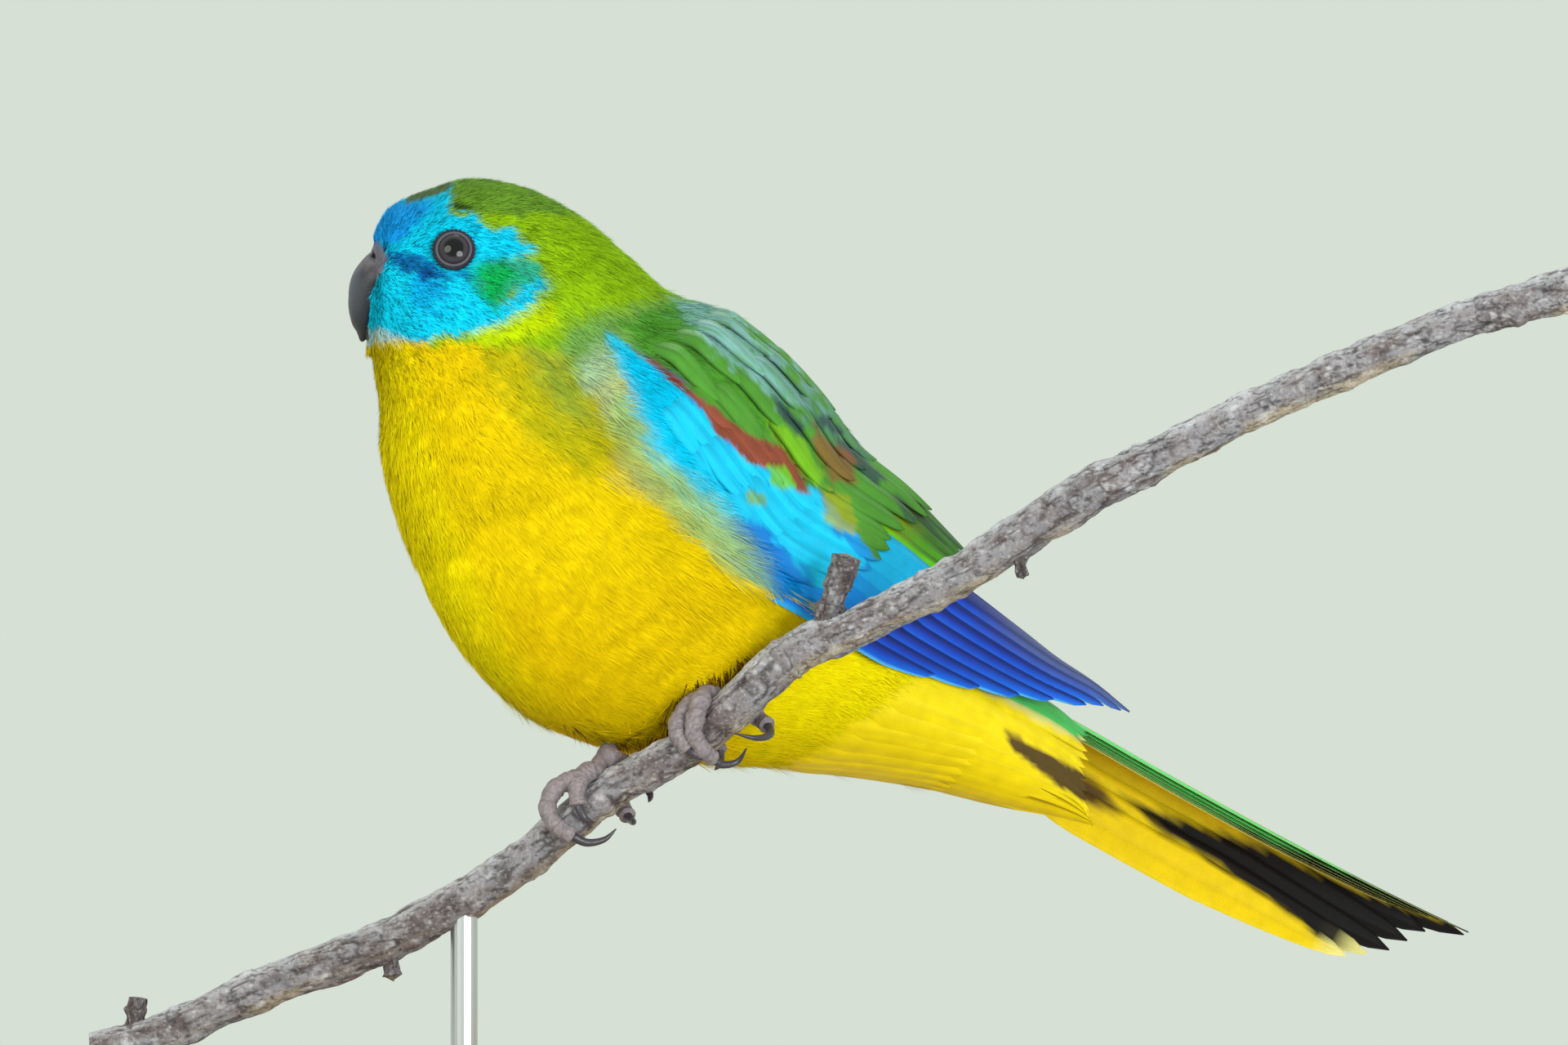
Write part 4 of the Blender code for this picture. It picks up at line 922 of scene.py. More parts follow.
@dataclass
class Blades:
    """Many thin tapered barbs that lie along the coat, as arrays."""

    root: Array
    normal: Array
    along: Array
    length: Array
    width: Array
    lift: Array
    tint: Array
    place: Array
    root_shade: Array

    def arrays(self, rng: np.random.Generator) -> Tuple[Array, Array, Array, Array, Array]:
        """Points, faces, tints, OFBake places and normals of all the barbs.

        Args:
            rng: draws how far each tip sways.
        Returns:
            The five arrays.
        """
        count = len(self.root)
        across = unit(np.cross(self.normal, self.along))
        half = (self.width / 2)[:, None]
        length = self.length[:, None]
        rise = np.sin(self.lift)[:, None]
        flat = np.cos(self.lift)[:, None]
        sway = across * rng.normal(0, 0.05, (count, 1)) * length
        root = self.root - self.normal * 0.1
        ridge = root + self.along * length * 0.3 + self.normal * (half * 0.4 + length * 0.3 * rise)
        tip = root + self.along * length * flat + self.normal * length * rise + sway
        points = np.stack((root - across * half, root + across * half, ridge, tip), axis=1)
        base = np.array(((0, 2, 1), (1, 2, 3), (3, 2, 0), (0, 1, 3)))
        faces = (base[None] + np.arange(count)[:, None, None] * 4).reshape(-1, 3)
        full = np.ones(count)
        # painted shade darkens each barb's root, and a painted highlight lightens its tip
        shade = np.stack((self.root_shade, self.root_shade, 0.97 * full, 1.08 * full), axis=1)
        near, far = self.tint[:, 0], self.tint[:, 1]
        tint = np.stack((near, near, (near + far) / 2, far), axis=1) * shade[..., None]
        spot = np.array(((-1, -1), (1, -1), (0, 0), (0, 1)))
        patch = self.place[:, None, :] + spot[None] * 0.0004
        lean = unit(self.normal + 0.35 * self.along)[:, None]
        turn = np.array((-0.6, 0.6, 0.0, 0.0))[None, :, None]
        normals = unit(lean + across[:, None] * turn)
        return (points.reshape(-1, 3), faces, tint.reshape(-1, 3), patch.reshape(-1, 2),
                normals.reshape(-1, 3))


@dataclass(frozen=True)
class CoatZone:
    """A stretch of the coat: where it lies, and how its barbs are.

    Lengths are in millimetres and the lift in degrees. root_shade is painted shade at
    the roots of the barbs. The share of barbs darkened to fleck_shade is painted
    shade in the gaps between barbs, and in part the plumage's own dark speckles.
    """

    name: str
    s_range: Tuple[float, float]
    tufts: int
    barbs: int
    length: Tuple[float, float]
    spread: float
    width: float
    lift: float
    root_shade: float
    fan: float
    flecks: float
    fleck_shade: float
    pieces: int = 1


COAT_ZONES: Tuple[CoatZone, ...] = (
    CoatZone("coat_face", (-0.9, 3.4), 7400, 5, (1.15, 2.0), 0.42, 0.23, 16.0, 0.36,
             0.46, 0.32, 0.34, 1),
    CoatZone("coat_crown", (3.4, 5.6), 5400, 7, (2.0, 3.0), 0.75, 0.29, 13.0, 0.55,
             0.40, 0.34, 0.45, 1),
    CoatZone("coat_neck", (5.6, 8.0), 5000, 9, (3.0, 4.2), 1.0, 0.30, 9.0, 0.62,
             0.34, 0.26, 0.58, 1),
    CoatZone("coat_breast", (8.0, 11.0), 7600, 10, (3.8, 5.2), 1.3, 0.33, 5.5, 0.80,
             0.26, 0.08, 0.86, 2),
    CoatZone("coat_belly", (11.0, 15.0), 6600, 10, (4.6, 6.4), 1.4, 0.35, 5.5, 0.82,
             0.26, 0.06, 0.90, 2),
    CoatZone("coat_rump", (15.0, 17.7), 2600, 10, (5.5, 6.5), 1.3, 0.35, 3.0, 0.86,
             0.20, 0.06, 0.88, 1),
)
# Bare cere beside the bill, where no feathers grow
CERE = ((430, 291), (456, 292), (468, 300), (474, 316), (469, 330), (462, 340), (457, 350),
        (430, 352))
NOSTRIL = (455.0, 310.0)
# The skin's ends along the spine; it sinks under the tail's coverts near the last
SKIN_START, SKIN_END = -0.95, 18.3
# The spine's last section
LAST_SECTION = 19.0
# Where the barbs of the face start to spread from, in the view's plane
BILL_ROOT = (-57.0, 36.5)
# Lower edge of the belly over the perch, in pixels across and down
FRINGE_U = (680.0, 736.0, 780.0, 815.0, 828.0, 850.0, 890.0, 925.0)
FRINGE_V = (912.0, 940.0, 930.0, 914.0, 880.0, 858.0, 838.0, 818.0)
# Loose tips at the lower outline: pixel place and number of barbs
WISPS = ((604, 852, 50), (618, 872, 70), (640, 886, 30), (846, 940, 60), (878, 942, 60),
         (934, 940, 40), (1000, 948, 50), (1090, 958, 80), (1104, 962, 50))


@dataclass
class Spots:
    """Places on the skin: point, outward direction, and steps for one more s and degree."""

    s: Array
    angle: Array
    root: Array
    normal: Array
    along: Array
    around: Array

    def take(self, pick: Array) -> "Spots":
        """Those that pick names."""
        return Spots(*(getattr(self, part.name)[pick] for part in fields(self)))


@dataclass
class Plumage:
    """Skin and coat over head, neck, torso, rump and the folded wings' shoulders."""

    body: Envelope
    markings: Markings
    inset: float = 0.9
    rng: np.random.Generator = field(default_factory=lambda: np.random.default_rng(SEED))

    def covered(self, s: Array, angle: Array) -> Array:
        """The skin before the cere is bared; it rounds off ahead of s = 0.

        Args:
            s, angle: places along the spine and round it.
        Returns:
            A point for each place.
        """
        inner = np.maximum(s, 0.0)
        rise = wing_rise(inner, angle) - self.inset - rump_sink(inner)
        rise = rise - 3.0 * smooth(17.0, SKIN_END, inner)
        points = self.body.raised(inner, angle, rise)
        centre = self.body.middle[0]
        turn = np.clip(-s, 0.0, 1.0)[..., None] * math.pi / 2
        front = axes_of(HEAD_YAW, 0.0)[0]
        return centre + (points - centre) * np.cos(turn) + front * 0.5 * np.sin(turn)

    def bare(self, s: Array, angle: Array) -> Array:
        """Share from 0 to 1 by which the cere beside the bill is bare.

        Args:
            s, angle: places along the spine and round it.
        Returns:
            The share for each place.
        """
        left = np.abs((angle + 180.0) % 360.0 - 180.0)
        u, v = on_view(self.covered(s, left))
        return smooth(-5.0, 3.0, in_polygon(u, v, CERE)) * smooth(1.7, 1.0, s)

    def skin_point(self, s: Array, angle: Array) -> Array:
        """Points of the skin.

        Args:
            s, angle: places along the spine and round it.
        Returns:
            A point for each place.
        """
        s, angle = np.broadcast_arrays(np.asarray(s, float), np.asarray(angle, float))
        points = self.covered(s, angle)
        if s.min() > 1.8:
            return points
        inward = unit(self.body.middle[1] - points)
        return points + inward * (0.7 * self.bare(s, angle))[..., None]

    def spots(self, s: Array, angle: Array) -> Spots:
        """Spots of the skin.

        Args:
            s, angle: places along the spine and round it.
        Returns:
            The spots.
        """
        here = self.skin_point(s, angle)
        along = (self.skin_point(s + 0.06, angle) - here) / 0.06
        around = (self.skin_point(s, angle + 1.2) - here) / 1.2
        return Spots(s, angle, here, unit(np.cross(around, along)), along, around)

    @staticmethod
    def on_wing(s: Array, left: Array) -> Array:
        """Share from 0 to 1 by which the coat there lies on the folded wing."""
        return smooth(18.0, 36.0, left) * smooth(90.0, 82.0, left) * smooth(7.4, 8.6, s)

    @staticmethod
    def chart(s: Array, angle: Array) -> Array:
        """Place on an unwrap of the skin's own shape."""
        return np.stack((((angle + 180.0) % 360.0) / 360.0 * 0.96 + 0.02,
                         (s + 1.0) / 20.0 * 0.96 + 0.02), axis=-1)

    def build_skin(self) -> None:
        """The skin under the coat."""
        rows, columns = 170, 144
        s = np.linspace(SKIN_START, SKIN_END, rows)[:, None]
        angle = np.linspace(-180.0, 180.0, columns, endpoint=False)[None, :]
        s, angle = np.broadcast_arrays(s, angle)
        points = self.skin_point(s, angle)
        first, last = points[0].mean(axis=0), points[-1].mean(axis=0)
        points = np.concatenate((points[0:1] * 0.02 + first * 0.98, points,
                                 points[-1:] * 0.02 + last * 0.98))
        s = np.concatenate((s[:1], s, s[-1:]))
        angle = np.concatenate((angle[:1], angle, angle[-1:]))
        # painted shade: the skin takes the markings darkened, most on the face, as the shade under
        # the barbs
        dark = 0.36 + 0.34 * smooth(2.5, 6.0, s) + 0.25 * smooth(15.5, 17.0, s)
        tint = self.markings.at(np.maximum(s, 0.0), angle) * dark[..., None]
        u, v = on_view(self.covered(s, np.abs(angle)))
        # painted shade: a dark spot for the opening of the nostril in the cere
        nostril_shade = smooth(1.2, 0.8, np.hypot((u - NOSTRIL[0]) / 5.0, (v - NOSTRIL[1]) / 8.0))
        cere = mix(rgb(104, 100, 112) * np.ones_like(tint), rgb(14, 12, 16), nostril_shade)
        cere = cere * (1 + 0.5 * noise(points, 0.35, 14))[..., None]
        tint = mix(tint, cere, self.bare(s, angle))
        faces = grid_faces(rows + 2, columns, True)
        build_mesh("skin", points.reshape(-1, 3), faces, FINISHES["coat"],
                   tint.reshape(-1, 3), self.chart(s, angle).reshape(-1, 2),
                   stands_for=("head", "neck", "torso", "rump"))

    def scatter(self, low: float, high: float, count: int) -> Tuple[Array, Array]:
        """Evenly spread random places between two sections.

        Args:
            low, high: the sections.
            count: how many places.
        Returns:
            Places along the spine and round it.
        """
        edges_s = np.linspace(low, high, 61)
        edges_a = np.linspace(-180.0, 180.0, 145)
        mid_s = (edges_s[:-1] + edges_s[1:]) / 2
        mid_a = (edges_a[:-1] + edges_a[1:]) / 2
        s, a = np.meshgrid(mid_s, mid_a, indexing="ij")
        spots = self.spots(s, a)
        area = np.linalg.norm(np.cross(spots.along, spots.around), axis=-1)
        under_wing = smooth(12.2, 13.0, s) * smooth(15.8, 15.2, s)
        area = area * (1.0 - 0.85 * under_wing * smooth(80.0, 70.0, np.abs(a)))
        area = area.ravel()
        pick = self.rng.choice(len(area), size=count, p=area / area.sum())
        ds, da = edges_s[1] - edges_s[0], edges_a[1] - edges_a[0]
        s = s.ravel()[pick] + self.rng.uniform(-0.5, 0.5, count) * ds
        a = a.ravel()[pick] + self.rng.uniform(-0.5, 0.5, count) * da
        return s, a

    def flow(self, spots: Spots) -> Array:
        """Unit directions in which the barbs lie: outward round the bill, then tailward.

        Args:
            spots: where they stand.
        Returns:
            A direction for each.
        """
        s, root, normal = spots.s, spots.root, spots.normal
        front, _, top = axes_of(HEAD_YAW, 0.0)
        start = spline(self.body.middle, 1.0)
        source = start + in_plane(front, top, BILL_ROOT[0] - start[0], BILL_ROOT[1] - start[2])
        ray = root - source
        ray = unit(ray - normal * np.sum(ray * normal, axis=1, keepdims=True))
        share = smooth(3.8, 1.4, s)[:, None]
        way = unit(unit(spots.along) * (1 - share) + ray * share)
        # the flank's long barbs sweep up over the wing's lower edge
        left = np.abs(spots.angle)
        sweep = smooth(84.0, 92.0, left) * smooth(122.0, 104.0, left)
        sweep = sweep * smooth(7.0, 8.0, s) * smooth(11.4, 10.4, s) * np.sign(spots.angle)
        way = unit(way - unit(spots.around) * (0.42 * sweep)[:, None])
        across = np.cross(normal, way)
        rough = 1.0 - 0.7 * self.on_wing(s, left)
        swirl = rough * (0.20 * noise(root, 5.0, 11) + self.rng.normal(0, 0.10, len(s)))
        return unit(way + across * swirl[:, None])

    def shown_at(self, spots: Spots, way: Array, ahead: Array) -> Array:
        """Colours a distance ahead of each spot, where a barb shows.

        Args:
            spots: the spots.
            way: the direction in which each barb lies.
            ahead: the distances in millimetres.
        Returns:
            A colour for each spot.
        """
        along, around = spots.along, spots.around
        aa, bb = np.sum(along * along, axis=1), np.sum(around * around, axis=1)
        ab = np.sum(along * around, axis=1)
        wa, wb = np.sum(way * along, axis=1), np.sum(way * around, axis=1)
        det = np.maximum(aa * bb - ab * ab, 1e-6)
        step_s = np.clip((wa * bb - wb * ab) / det * ahead, -1.5, 1.5)
        step_a = np.clip((wb * aa - wa * ab) / det * ahead, -25.0, 25.0)
        return self.markings.at(np.clip(spots.s + step_s, 0.0, LAST_SECTION),
                                spots.angle + step_a)

    def make(self, name: str, barbs: Blades) -> None:
        """Makes a piece of the coat from its barbs."""
        points, faces, tints, patch, normals = barbs.arrays(self.rng)
        build_mesh(name, points, faces, FINISHES["coat"], tints, patch, normals=normals)

    def build_zone(self, zone: CoatZone, eyes: Sequence[Array]) -> None:
        """One stretch of the coat: tufts that each fan out into barbs.

        Args:
            zone: the stretch.
            eyes: centres of the eyes, which stay clear.
        """
        low, high = zone.s_range
        spots = self.spots(*self.scatter(low, high, zone.tufts))
        keep = np.ones(len(spots.s), dtype=bool)
        for eye in eyes:
            keep &= np.linalg.norm(spots.root - eye, axis=1) > EYE_RADIUS + 0.2
        if low < 1.0:
            keep &= self.bare(spots.s, spots.angle) < 0.5
        spots = spots.take(keep)
        s, root, normal = spots.s, spots.root, spots.normal
        way = self.flow(spots)
        count = len(s)
        share = (s - low) / (high - low)
        length = zone.length[0] + (zone.length[1] - zone.length[0]) * share
        left = np.abs(spots.angle)
        flank = smooth(86.0, 94.0, left) * smooth(118.0, 104.0, left)
        flank = flank * smooth(7.0, 8.0, s) * smooth(11.3, 10.4, s)
        on_wing = self.on_wing(s, left)
        length = length * self.rng.uniform(0.8, 1.15, count) * (1 + 0.6 * flank - 0.2 * on_wing)
        narrow = smooth(14.2, 15.4, s) * smooth(96.0, 78.0, left)
        length = length * (1 - 0.62 * narrow)
        lift = zone.lift * self.rng.uniform(0.6, 1.4, count) * (1 - 0.75 * on_wing) * (1 - narrow)
        tone = 1.0 + 0.05 * noise(root, 1.6, 21) + 0.04 * noise(root, 5.0, 22)
        tone = tone * self.rng.uniform(0.93, 1.07, count)
        across = np.cross(normal, way)
        # spread each tuft into its barbs
        fan = np.linspace(-1.0, 1.0, zone.barbs)[None, :] * np.ones((count, 1))
        fan = (fan + self.rng.uniform(-0.5, 0.5, fan.shape) / zone.barbs).ravel()
        each = np.repeat(np.arange(count), zone.barbs)
        calm = (1 - 0.6 * on_wing)[each]
        ways = unit(way[each] + across[each] * (zone.fan * calm * fan)[:, None])
        back = (0.22 * length[each] * fan**2)[:, None]
        roots = root[each] + across[each] * (0.55 * zone.spread * fan)[:, None] - way[each] * back
        roots = roots + normal[each] * (0.10 * (1 - fan**2) * zone.spread)[:, None]
        lengths = length[each] * self.rng.uniform(0.85, 1.1, len(each))
        barb_spots = spots.take(each)
        tint = np.stack([self.shown_at(barb_spots, ways, ahead * lengths)
                         for ahead in (0.4, 0.9)], axis=1)
        front = (smooth(76.0, 104.0, left) * smooth(3.6, 5.2, s))[each]
        # some barbs are darkened to fleck_shade: painted shade in the gaps between barbs, and in
        # part dark speckles
        gap_shade_fleck = self.rng.uniform(0, 1, len(each)) < zone.flecks * calm * (1 - 0.7 * front)
        root_shade = zone.root_shade + (0.94 - zone.root_shade) * 0.75 * front
        tone_each = tone[each] * self.rng.uniform(0.94, 1.06, len(each))
        tint = tint * np.where(gap_shade_fleck, zone.fleck_shade * tone_each, tone_each)[:, None, None]
        width = zone.width * self.rng.uniform(0.85, 1.2, len(each))
        lifts = np.radians(lift[each] * self.rng.uniform(0.8, 1.2, len(each)))
        place = self.chart(s, spots.angle)[each]
        order = np.argsort(barb_spots.angle, kind="stable")
        for i, pick in enumerate(np.array_split(order, zone.pieces)):
            barbs = Blades(roots[pick], barb_spots.normal[pick], ways[pick], lengths[pick],
                           width[pick], lifts[pick], tint[pick], place[pick],
                           root_shade[pick])
            self.make(f"{zone.name}_{i + 1}", barbs)

    def grid(self, s: Array, angle: Array) -> Tuple[Array, Array, Array, Array]:
        """Places on the body at those rows and columns, and their pixels in the view."""
        s, angle = (part.ravel() for part in np.meshgrid(s, angle, indexing="ij"))
        return (s, angle, *on_view(self.body.at(s, angle)))

    def build_fringe(self) -> None:
        """Feathers of the belly that hang over the perch, with brown barbs between them as painted
        shade.
        """
        s, angle, u, v = self.grid(np.linspace(8.5, 13.5, 161), np.linspace(90.0, 176.0, 173))
        gap = np.interp(u, FRINGE_U, FRINGE_V) - v
        near = (u > FRINGE_U[0]) & (u < FRINGE_U[-1]) & (gap > 2.0) & (gap < 32.0)
        pick = self.rng.choice(np.flatnonzero(near), size=3400)
        s = s[pick] + self.rng.uniform(-0.02, 0.02, len(pick))
        angle = angle[pick] + self.rng.uniform(-0.3, 0.3, len(pick))
        gap = gap[pick]
        spots = self.spots(s, angle)
        normal = spots.normal
        down = np.array((0.25, -0.15, -1.0)) + self.rng.normal(0, 0.22, (len(s), 3))
        way = unit(down - normal * np.sum(down * normal, axis=1, keepdims=True))
        length = (gap * PIXEL + 2.0) * self.rng.uniform(0.8, 1.15, len(s))
        # painted shade: brown barbs among the yellow ones, most near the perch on the right
        share = 0.10 + 0.5 * smooth(786.0, 806.0, u[pick]) * smooth(32.0, 22.0, gap)
        brown = (self.rng.uniform(0, 1, len(s)) < share)[:, None]
        tint = np.where(brown, rgb(116, 74, 14), rgb(248, 212, 4))
        tint = tint * self.rng.uniform(0.85, 1.1, (len(s), 1))
        tint = np.repeat(tint[:, None], 2, axis=1)
        barbs = Blades(spots.root, normal, way, np.minimum(length, 6.2),
                       np.where(brown[:, 0], 0.26, 0.28),
                       np.radians(self.rng.uniform(3.0, 14.0, len(s)) + 8.0 * brown[:, 0]), tint,
                       self.chart(s, angle), np.full(len(s), 0.85))
        self.make("coat_fringe", barbs)

    def build_wisps(self) -> None:
        """Loose pale feather tips along the belly's lower outline."""
        s, angle, u, v = self.grid(np.linspace(6.5, 16.5, 301), np.linspace(100.0, 220.0, 181))
        picks = []
        for place_u, place_v, count in WISPS:
            near = np.argsort(np.hypot(u - place_u, v - place_v))[:40]
            picks.append(self.rng.choice(near, size=count))
        pick = np.concatenate(picks)
        s = s[pick] + self.rng.uniform(-0.1, 0.1, len(pick))
        angle = angle[pick] + self.rng.uniform(-1.5, 1.5, len(pick))
        spots = self.spots(s, angle)
        way = self.flow(spots)
        tint = np.ones((len(s), 2, 1)) * rgb(248, 226, 20)
        tint[:, 1] = rgb(255, 246, 150)
        barbs = Blades(spots.root, spots.normal, way, self.rng.uniform(3.6, 5.6, len(s)),
                       self.rng.uniform(0.25, 0.4, len(s)),
                       np.radians(self.rng.uniform(8.0, 26.0, len(s))), tint,
                       self.chart(s, angle), np.full(len(s), 0.9))
        self.make("coat_wisps", barbs)

    def build(self, eyes: Sequence[Array]) -> None:
        """Skin, then the coat, zone by zone.

        Args:
            eyes: centres of the eyes, which stay clear.
        """
        self.build_skin()
        for zone in COAT_ZONES:
            self.build_zone(zone, eyes)
        self.build_fringe()
        self.build_wisps()


@dataclass(frozen=True)
class Web:
    """The points of one feather: share of its length, place across it from -1 to 1."""

    along: Array
    wide: Array
    # its place in its row, from 0 to 1
    order: float
    points: Array


VaneTint = Callable[[Web], Array]
# Points across a feather's two webs, from one edge to the other
WEB_COLUMNS = 9
WEB_SPREAD = np.linspace(-1.0, 1.0, WEB_COLUMNS)


@dataclass
class VaneSet:
    """Feathers gathered into one piece."""

    points: List[Array] = field(default_factory=list)
    faces: List[Array] = field(default_factory=list)
    tints: List[Array] = field(default_factory=list)
    blades: List[Array] = field(default_factory=list)
    patches: List[Array] = field(default_factory=list)
    total: int = 0

    def add(self, middle: Array, across: Array, normal: Array, left: Array, right: Array,
            tint: VaneTint, order: float, thick: float = 0.16, droop: float = 0.22,
            shown: Optional[Array] = None, below: Optional[VaneTint] = None) -> None:
        """Adds one feather.

        Args:
            middle: points along its shaft.
            across, normal: directions at each.
            left, right: how far its webs reach on each side.
            tint: its colours.
            order: 0..1 place in its row.
            thick: thickness at the shaft.
            droop: how far the edges bend down, as a share of their reach.
            shown: points to colour it by, where they aren't its own.
            below: colours of its under side, where they differ.
        """
        rows = len(middle)
        cols = WEB_SPREAD
        reach = np.where(cols[None, :] < 0, left[:, None], right[:, None]) * cols[None, :]
        down = droop * np.abs(reach) * np.abs(cols)[None, :]
        rim = thick * (0.28 + 0.72 * (1 - np.abs(cols)) ** 0.5)[None, :] / 2
        shaft = np.exp(-((cols / 0.09) ** 2))[None, :] * thick * 0.5
        flat = middle[:, None] + across[:, None] * reach[..., None]
        flat = flat - normal[:, None] * down[..., None]
        top = flat + normal[:, None] * (rim + shaft)[..., None]
        under = flat - normal[:, None] * (rim + shaft * 0.7)[..., None]
        count = rows * WEB_COLUMNS
        sheet = grid_faces(rows, WEB_COLUMNS, False)
        places = np.arange(count).reshape(rows, WEB_COLUMNS)
        edge = np.concatenate((places[0], places[1:, -1], places[-1, -2::-1],
                               places[-2:0:-1, 0]))
        after = np.roll(edge, -1)
        rim_faces = np.stack((edge, after, after + count, edge + count), axis=-1)
        faces = np.concatenate((sheet[:, ::-1], sheet + count, rim_faces)) + self.total
        share = np.linspace(0.0, 1.0, rows)[:, None] * np.ones((1, WEB_COLUMNS))
        wide = cols[None, :] * np.ones((rows, 1))
        steps = run_along(middle)[:, None] * np.ones((1, WEB_COLUMNS))
        blade = np.stack((steps, reach), axis=-1).reshape(-1, 2)
        number = len(self.points)
        spot = np.stack((0.02 + (number % 12) * 0.08 + share * 0.06,
                         0.02 + (number // 12) * 0.08 + (wide + 1) * 0.03), axis=-1)
        for face, colours in ((top, tint), (under, below or tint)):
            flat_face = face.reshape(-1, 3)
            self.points.append(flat_face)
            self.tints.append(colours(Web(share.ravel(), wide.ravel(), order,
                                          flat_face if shown is None else shown)))
            self.blades.append(blade)
            self.patches.append(spot.reshape(-1, 2))
        self.faces.append(faces)
        self.total += 2 * count

    def build(self, name: str, stands_for: Sequence[str] = (), slot: str = "plumage_blue",
              finish: str = "vane") -> None:
        """Makes the piece."""
        build_mesh(name, np.concatenate(self.points), np.concatenate(self.faces),
                   FINISHES[finish], np.concatenate(self.tints),
                   np.concatenate(self.patches), np.concatenate(self.blades),
                   stands_for=stands_for)


def feather_outline(rows: int, blunt: float, root: float = 0.5) -> Array:
    """Reach of a feather's web along its length, as a share of the widest.

    Args:
        rows: points along the feather.
        blunt: power of the tip's curve; less is blunter.
        root: share of the widest at the root.
    Returns:
        The reach at each point.
    """
    f = np.linspace(0.0, 1.0, rows)
    rise = root + (1 - root) * smooth(0.0, 0.35, f)
    fall = np.clip((1.0 - f) / 0.34, 0.0, 1.0) ** blunt
    return np.maximum(rise * np.where(f > 0.66, fall, 1.0), 0.03)


@dataclass(frozen=True)
class FeatherRow:
    """A row of feathers on the wing sheath, from its first to its last.

    roots and tips are (s, angle) of the first and the last, widths their widest in
    millimetres, level their height over the sheath. bulge lengthens the middle of the
    row, blunt shapes the tips, tilt turns the webs, outer is the outer web's share,
    tuck lowers the lower edge, and dip follows the sink at the rump.
    """

    count: int
    roots: Tuple[Tuple[float, float], Tuple[float, float]]
    tips: Tuple[Tuple[float, float], Tuple[float, float]]
    widths: Tuple[float, float]
    level: float
    bulge: float = 0.0
    blunt: float = 0.5
    tilt: float = 0.10
    outer: float = 0.42
    tuck: float = 0.0
    dip: float = 0.0

    def run(self, order: float) -> Tuple[Tuple[float, float], Tuple[float, float]]:
        """(s at the root, at the tip) and (angle at the root, at the tip) of a feather.

        Args:
            order: 0..1 place of the feather in its row.
        Returns:
            Both pairs.
        """
        (rs0, ra0), (rs1, ra1) = self.roots
        (ts0, ta0), (ts1, ta1) = self.tips
        return ((rs0 + (rs1 - rs0) * order, ts0 + (ts1 - ts0) * order),
                (ra0 + (ra1 - ra0) * order, ta0 + (ta1 - ta0) * order))

    def lay(self, sheath: Envelope, side: float, tint: VaneTint, into: VaneSet,
            rng: np.random.Generator) -> None:
        """Adds the row's feathers for one wing.

        Args:
            sheath: the surface they lie on.
            side: +1 on the left, -1 on the right.
            tint: their colours.
            into: the set that they join.
            rng: draws their small differences.
        """
        rows = 26
        share = np.linspace(0.0, 1.0, rows)
        cols = WEB_SPREAD[None, :]
        for i in range(self.count):
            f = i / max(self.count - 1, 1)
            (root_s, tip_s), (root_a, tip_a) = self.run(f)
            lift = self.bulge * math.sin(math.pi * f)
            tip_s += lift + rng.uniform(-0.06, 0.06)
            if side < 0 and self is PRIMARY_ROW:
                tip_s = root_s + (tip_s - root_s) * 0.87
            tip_a += 14.0 * lift + rng.uniform(-0.8, 0.8)
            s = root_s + (tip_s - root_s) * share
            angle = root_a + (tip_a - root_a) * share
            width = self.widths[0] + (self.widths[1] - self.widths[0]) * f
            level = self.level + 0.05 * math.sin(7.0 * i)
            height = level * (0.3 + 0.7 * smooth(2.0, 28.0, np.abs(angle)))
            height = height - 2.8 * smooth(0.38, 0.0, share)
            height = height - self.tuck * smooth(82.0, 94.0, angle)
            height = height - self.dip * rump_sink(s)
            reach = feather_outline(rows, self.blunt) * width
            lower, upper = reach * self.outer, reach * (1 - self.outer)
            # across points up the wing's side, so the outer web is the lower one
            middle, across, normal = self.shaft(sheath, s, angle, height, 1.0)
            wide = np.where(cols < 0, lower[:, None], upper[:, None]) * cols
            shown = (middle[:, None] + across[:, None] * wide[..., None]).reshape(-1, 3)
            if side < 0:
                middle, across, normal = self.shaft(sheath, s, angle, height, side)
            into.add(middle, across, normal, lower, upper, tint, f, shown=shown)

    def shaft(self, sheath: Envelope, s: Array, angle: Array, height: Array,
              side: float) -> Tuple[Array, Array, Array]:
        """Points along a feather's shaft, and the directions across it and out.

        Args:
            sheath: the surface it lies on.
            s, angle: places of its points on that.
            height: how far above it they are.
            side: +1 on the left, -1 on the right.
        Returns:
            The points, and both directions at each.
        """
        middle = sheath.raised(s, angle * side, height)
        normal = sheath.normal(s, angle * side)
        tangent = unit(np.gradient(middle, axis=0))
        across = unit(np.cross(normal, tangent)) * side
        return middle, across - normal * self.tilt, normal


PRIMARY_ROW = FeatherRow(8, ((11.6, 62.0), (11.8, 92.0)), ((17.75, 43.0), (14.3, 95.5)),
                         (6.4, 5.4), 1.3, 0.55, 0.42, 0.09, 0.40)
SECONDARY_ROW = FeatherRow(7, ((10.9, 62.0), (11.0, 92.0)), ((13.6, 58.0), (13.0, 95.0)),
                           (6.0, 5.6), 2.3, 0.05, 0.5, 0.10, 0.42)
TERTIAL_ROW = FeatherRow(8, ((10.4, 12.0), (10.7, 58.0)), ((13.5, 8.0), (13.6, 52.0)),
                         (5.6, 5.6), 2.5, 0.15, 0.6, 0.08, 0.45)
GREATER_ROW = FeatherRow(8, ((10.9, 64.0), (11.0, 88.0)), ((13.4, 60.0), (13.0, 95.0)),
                         (5.0, 4.8), 2.8, 0.0, 0.6, 0.06, 0.44)
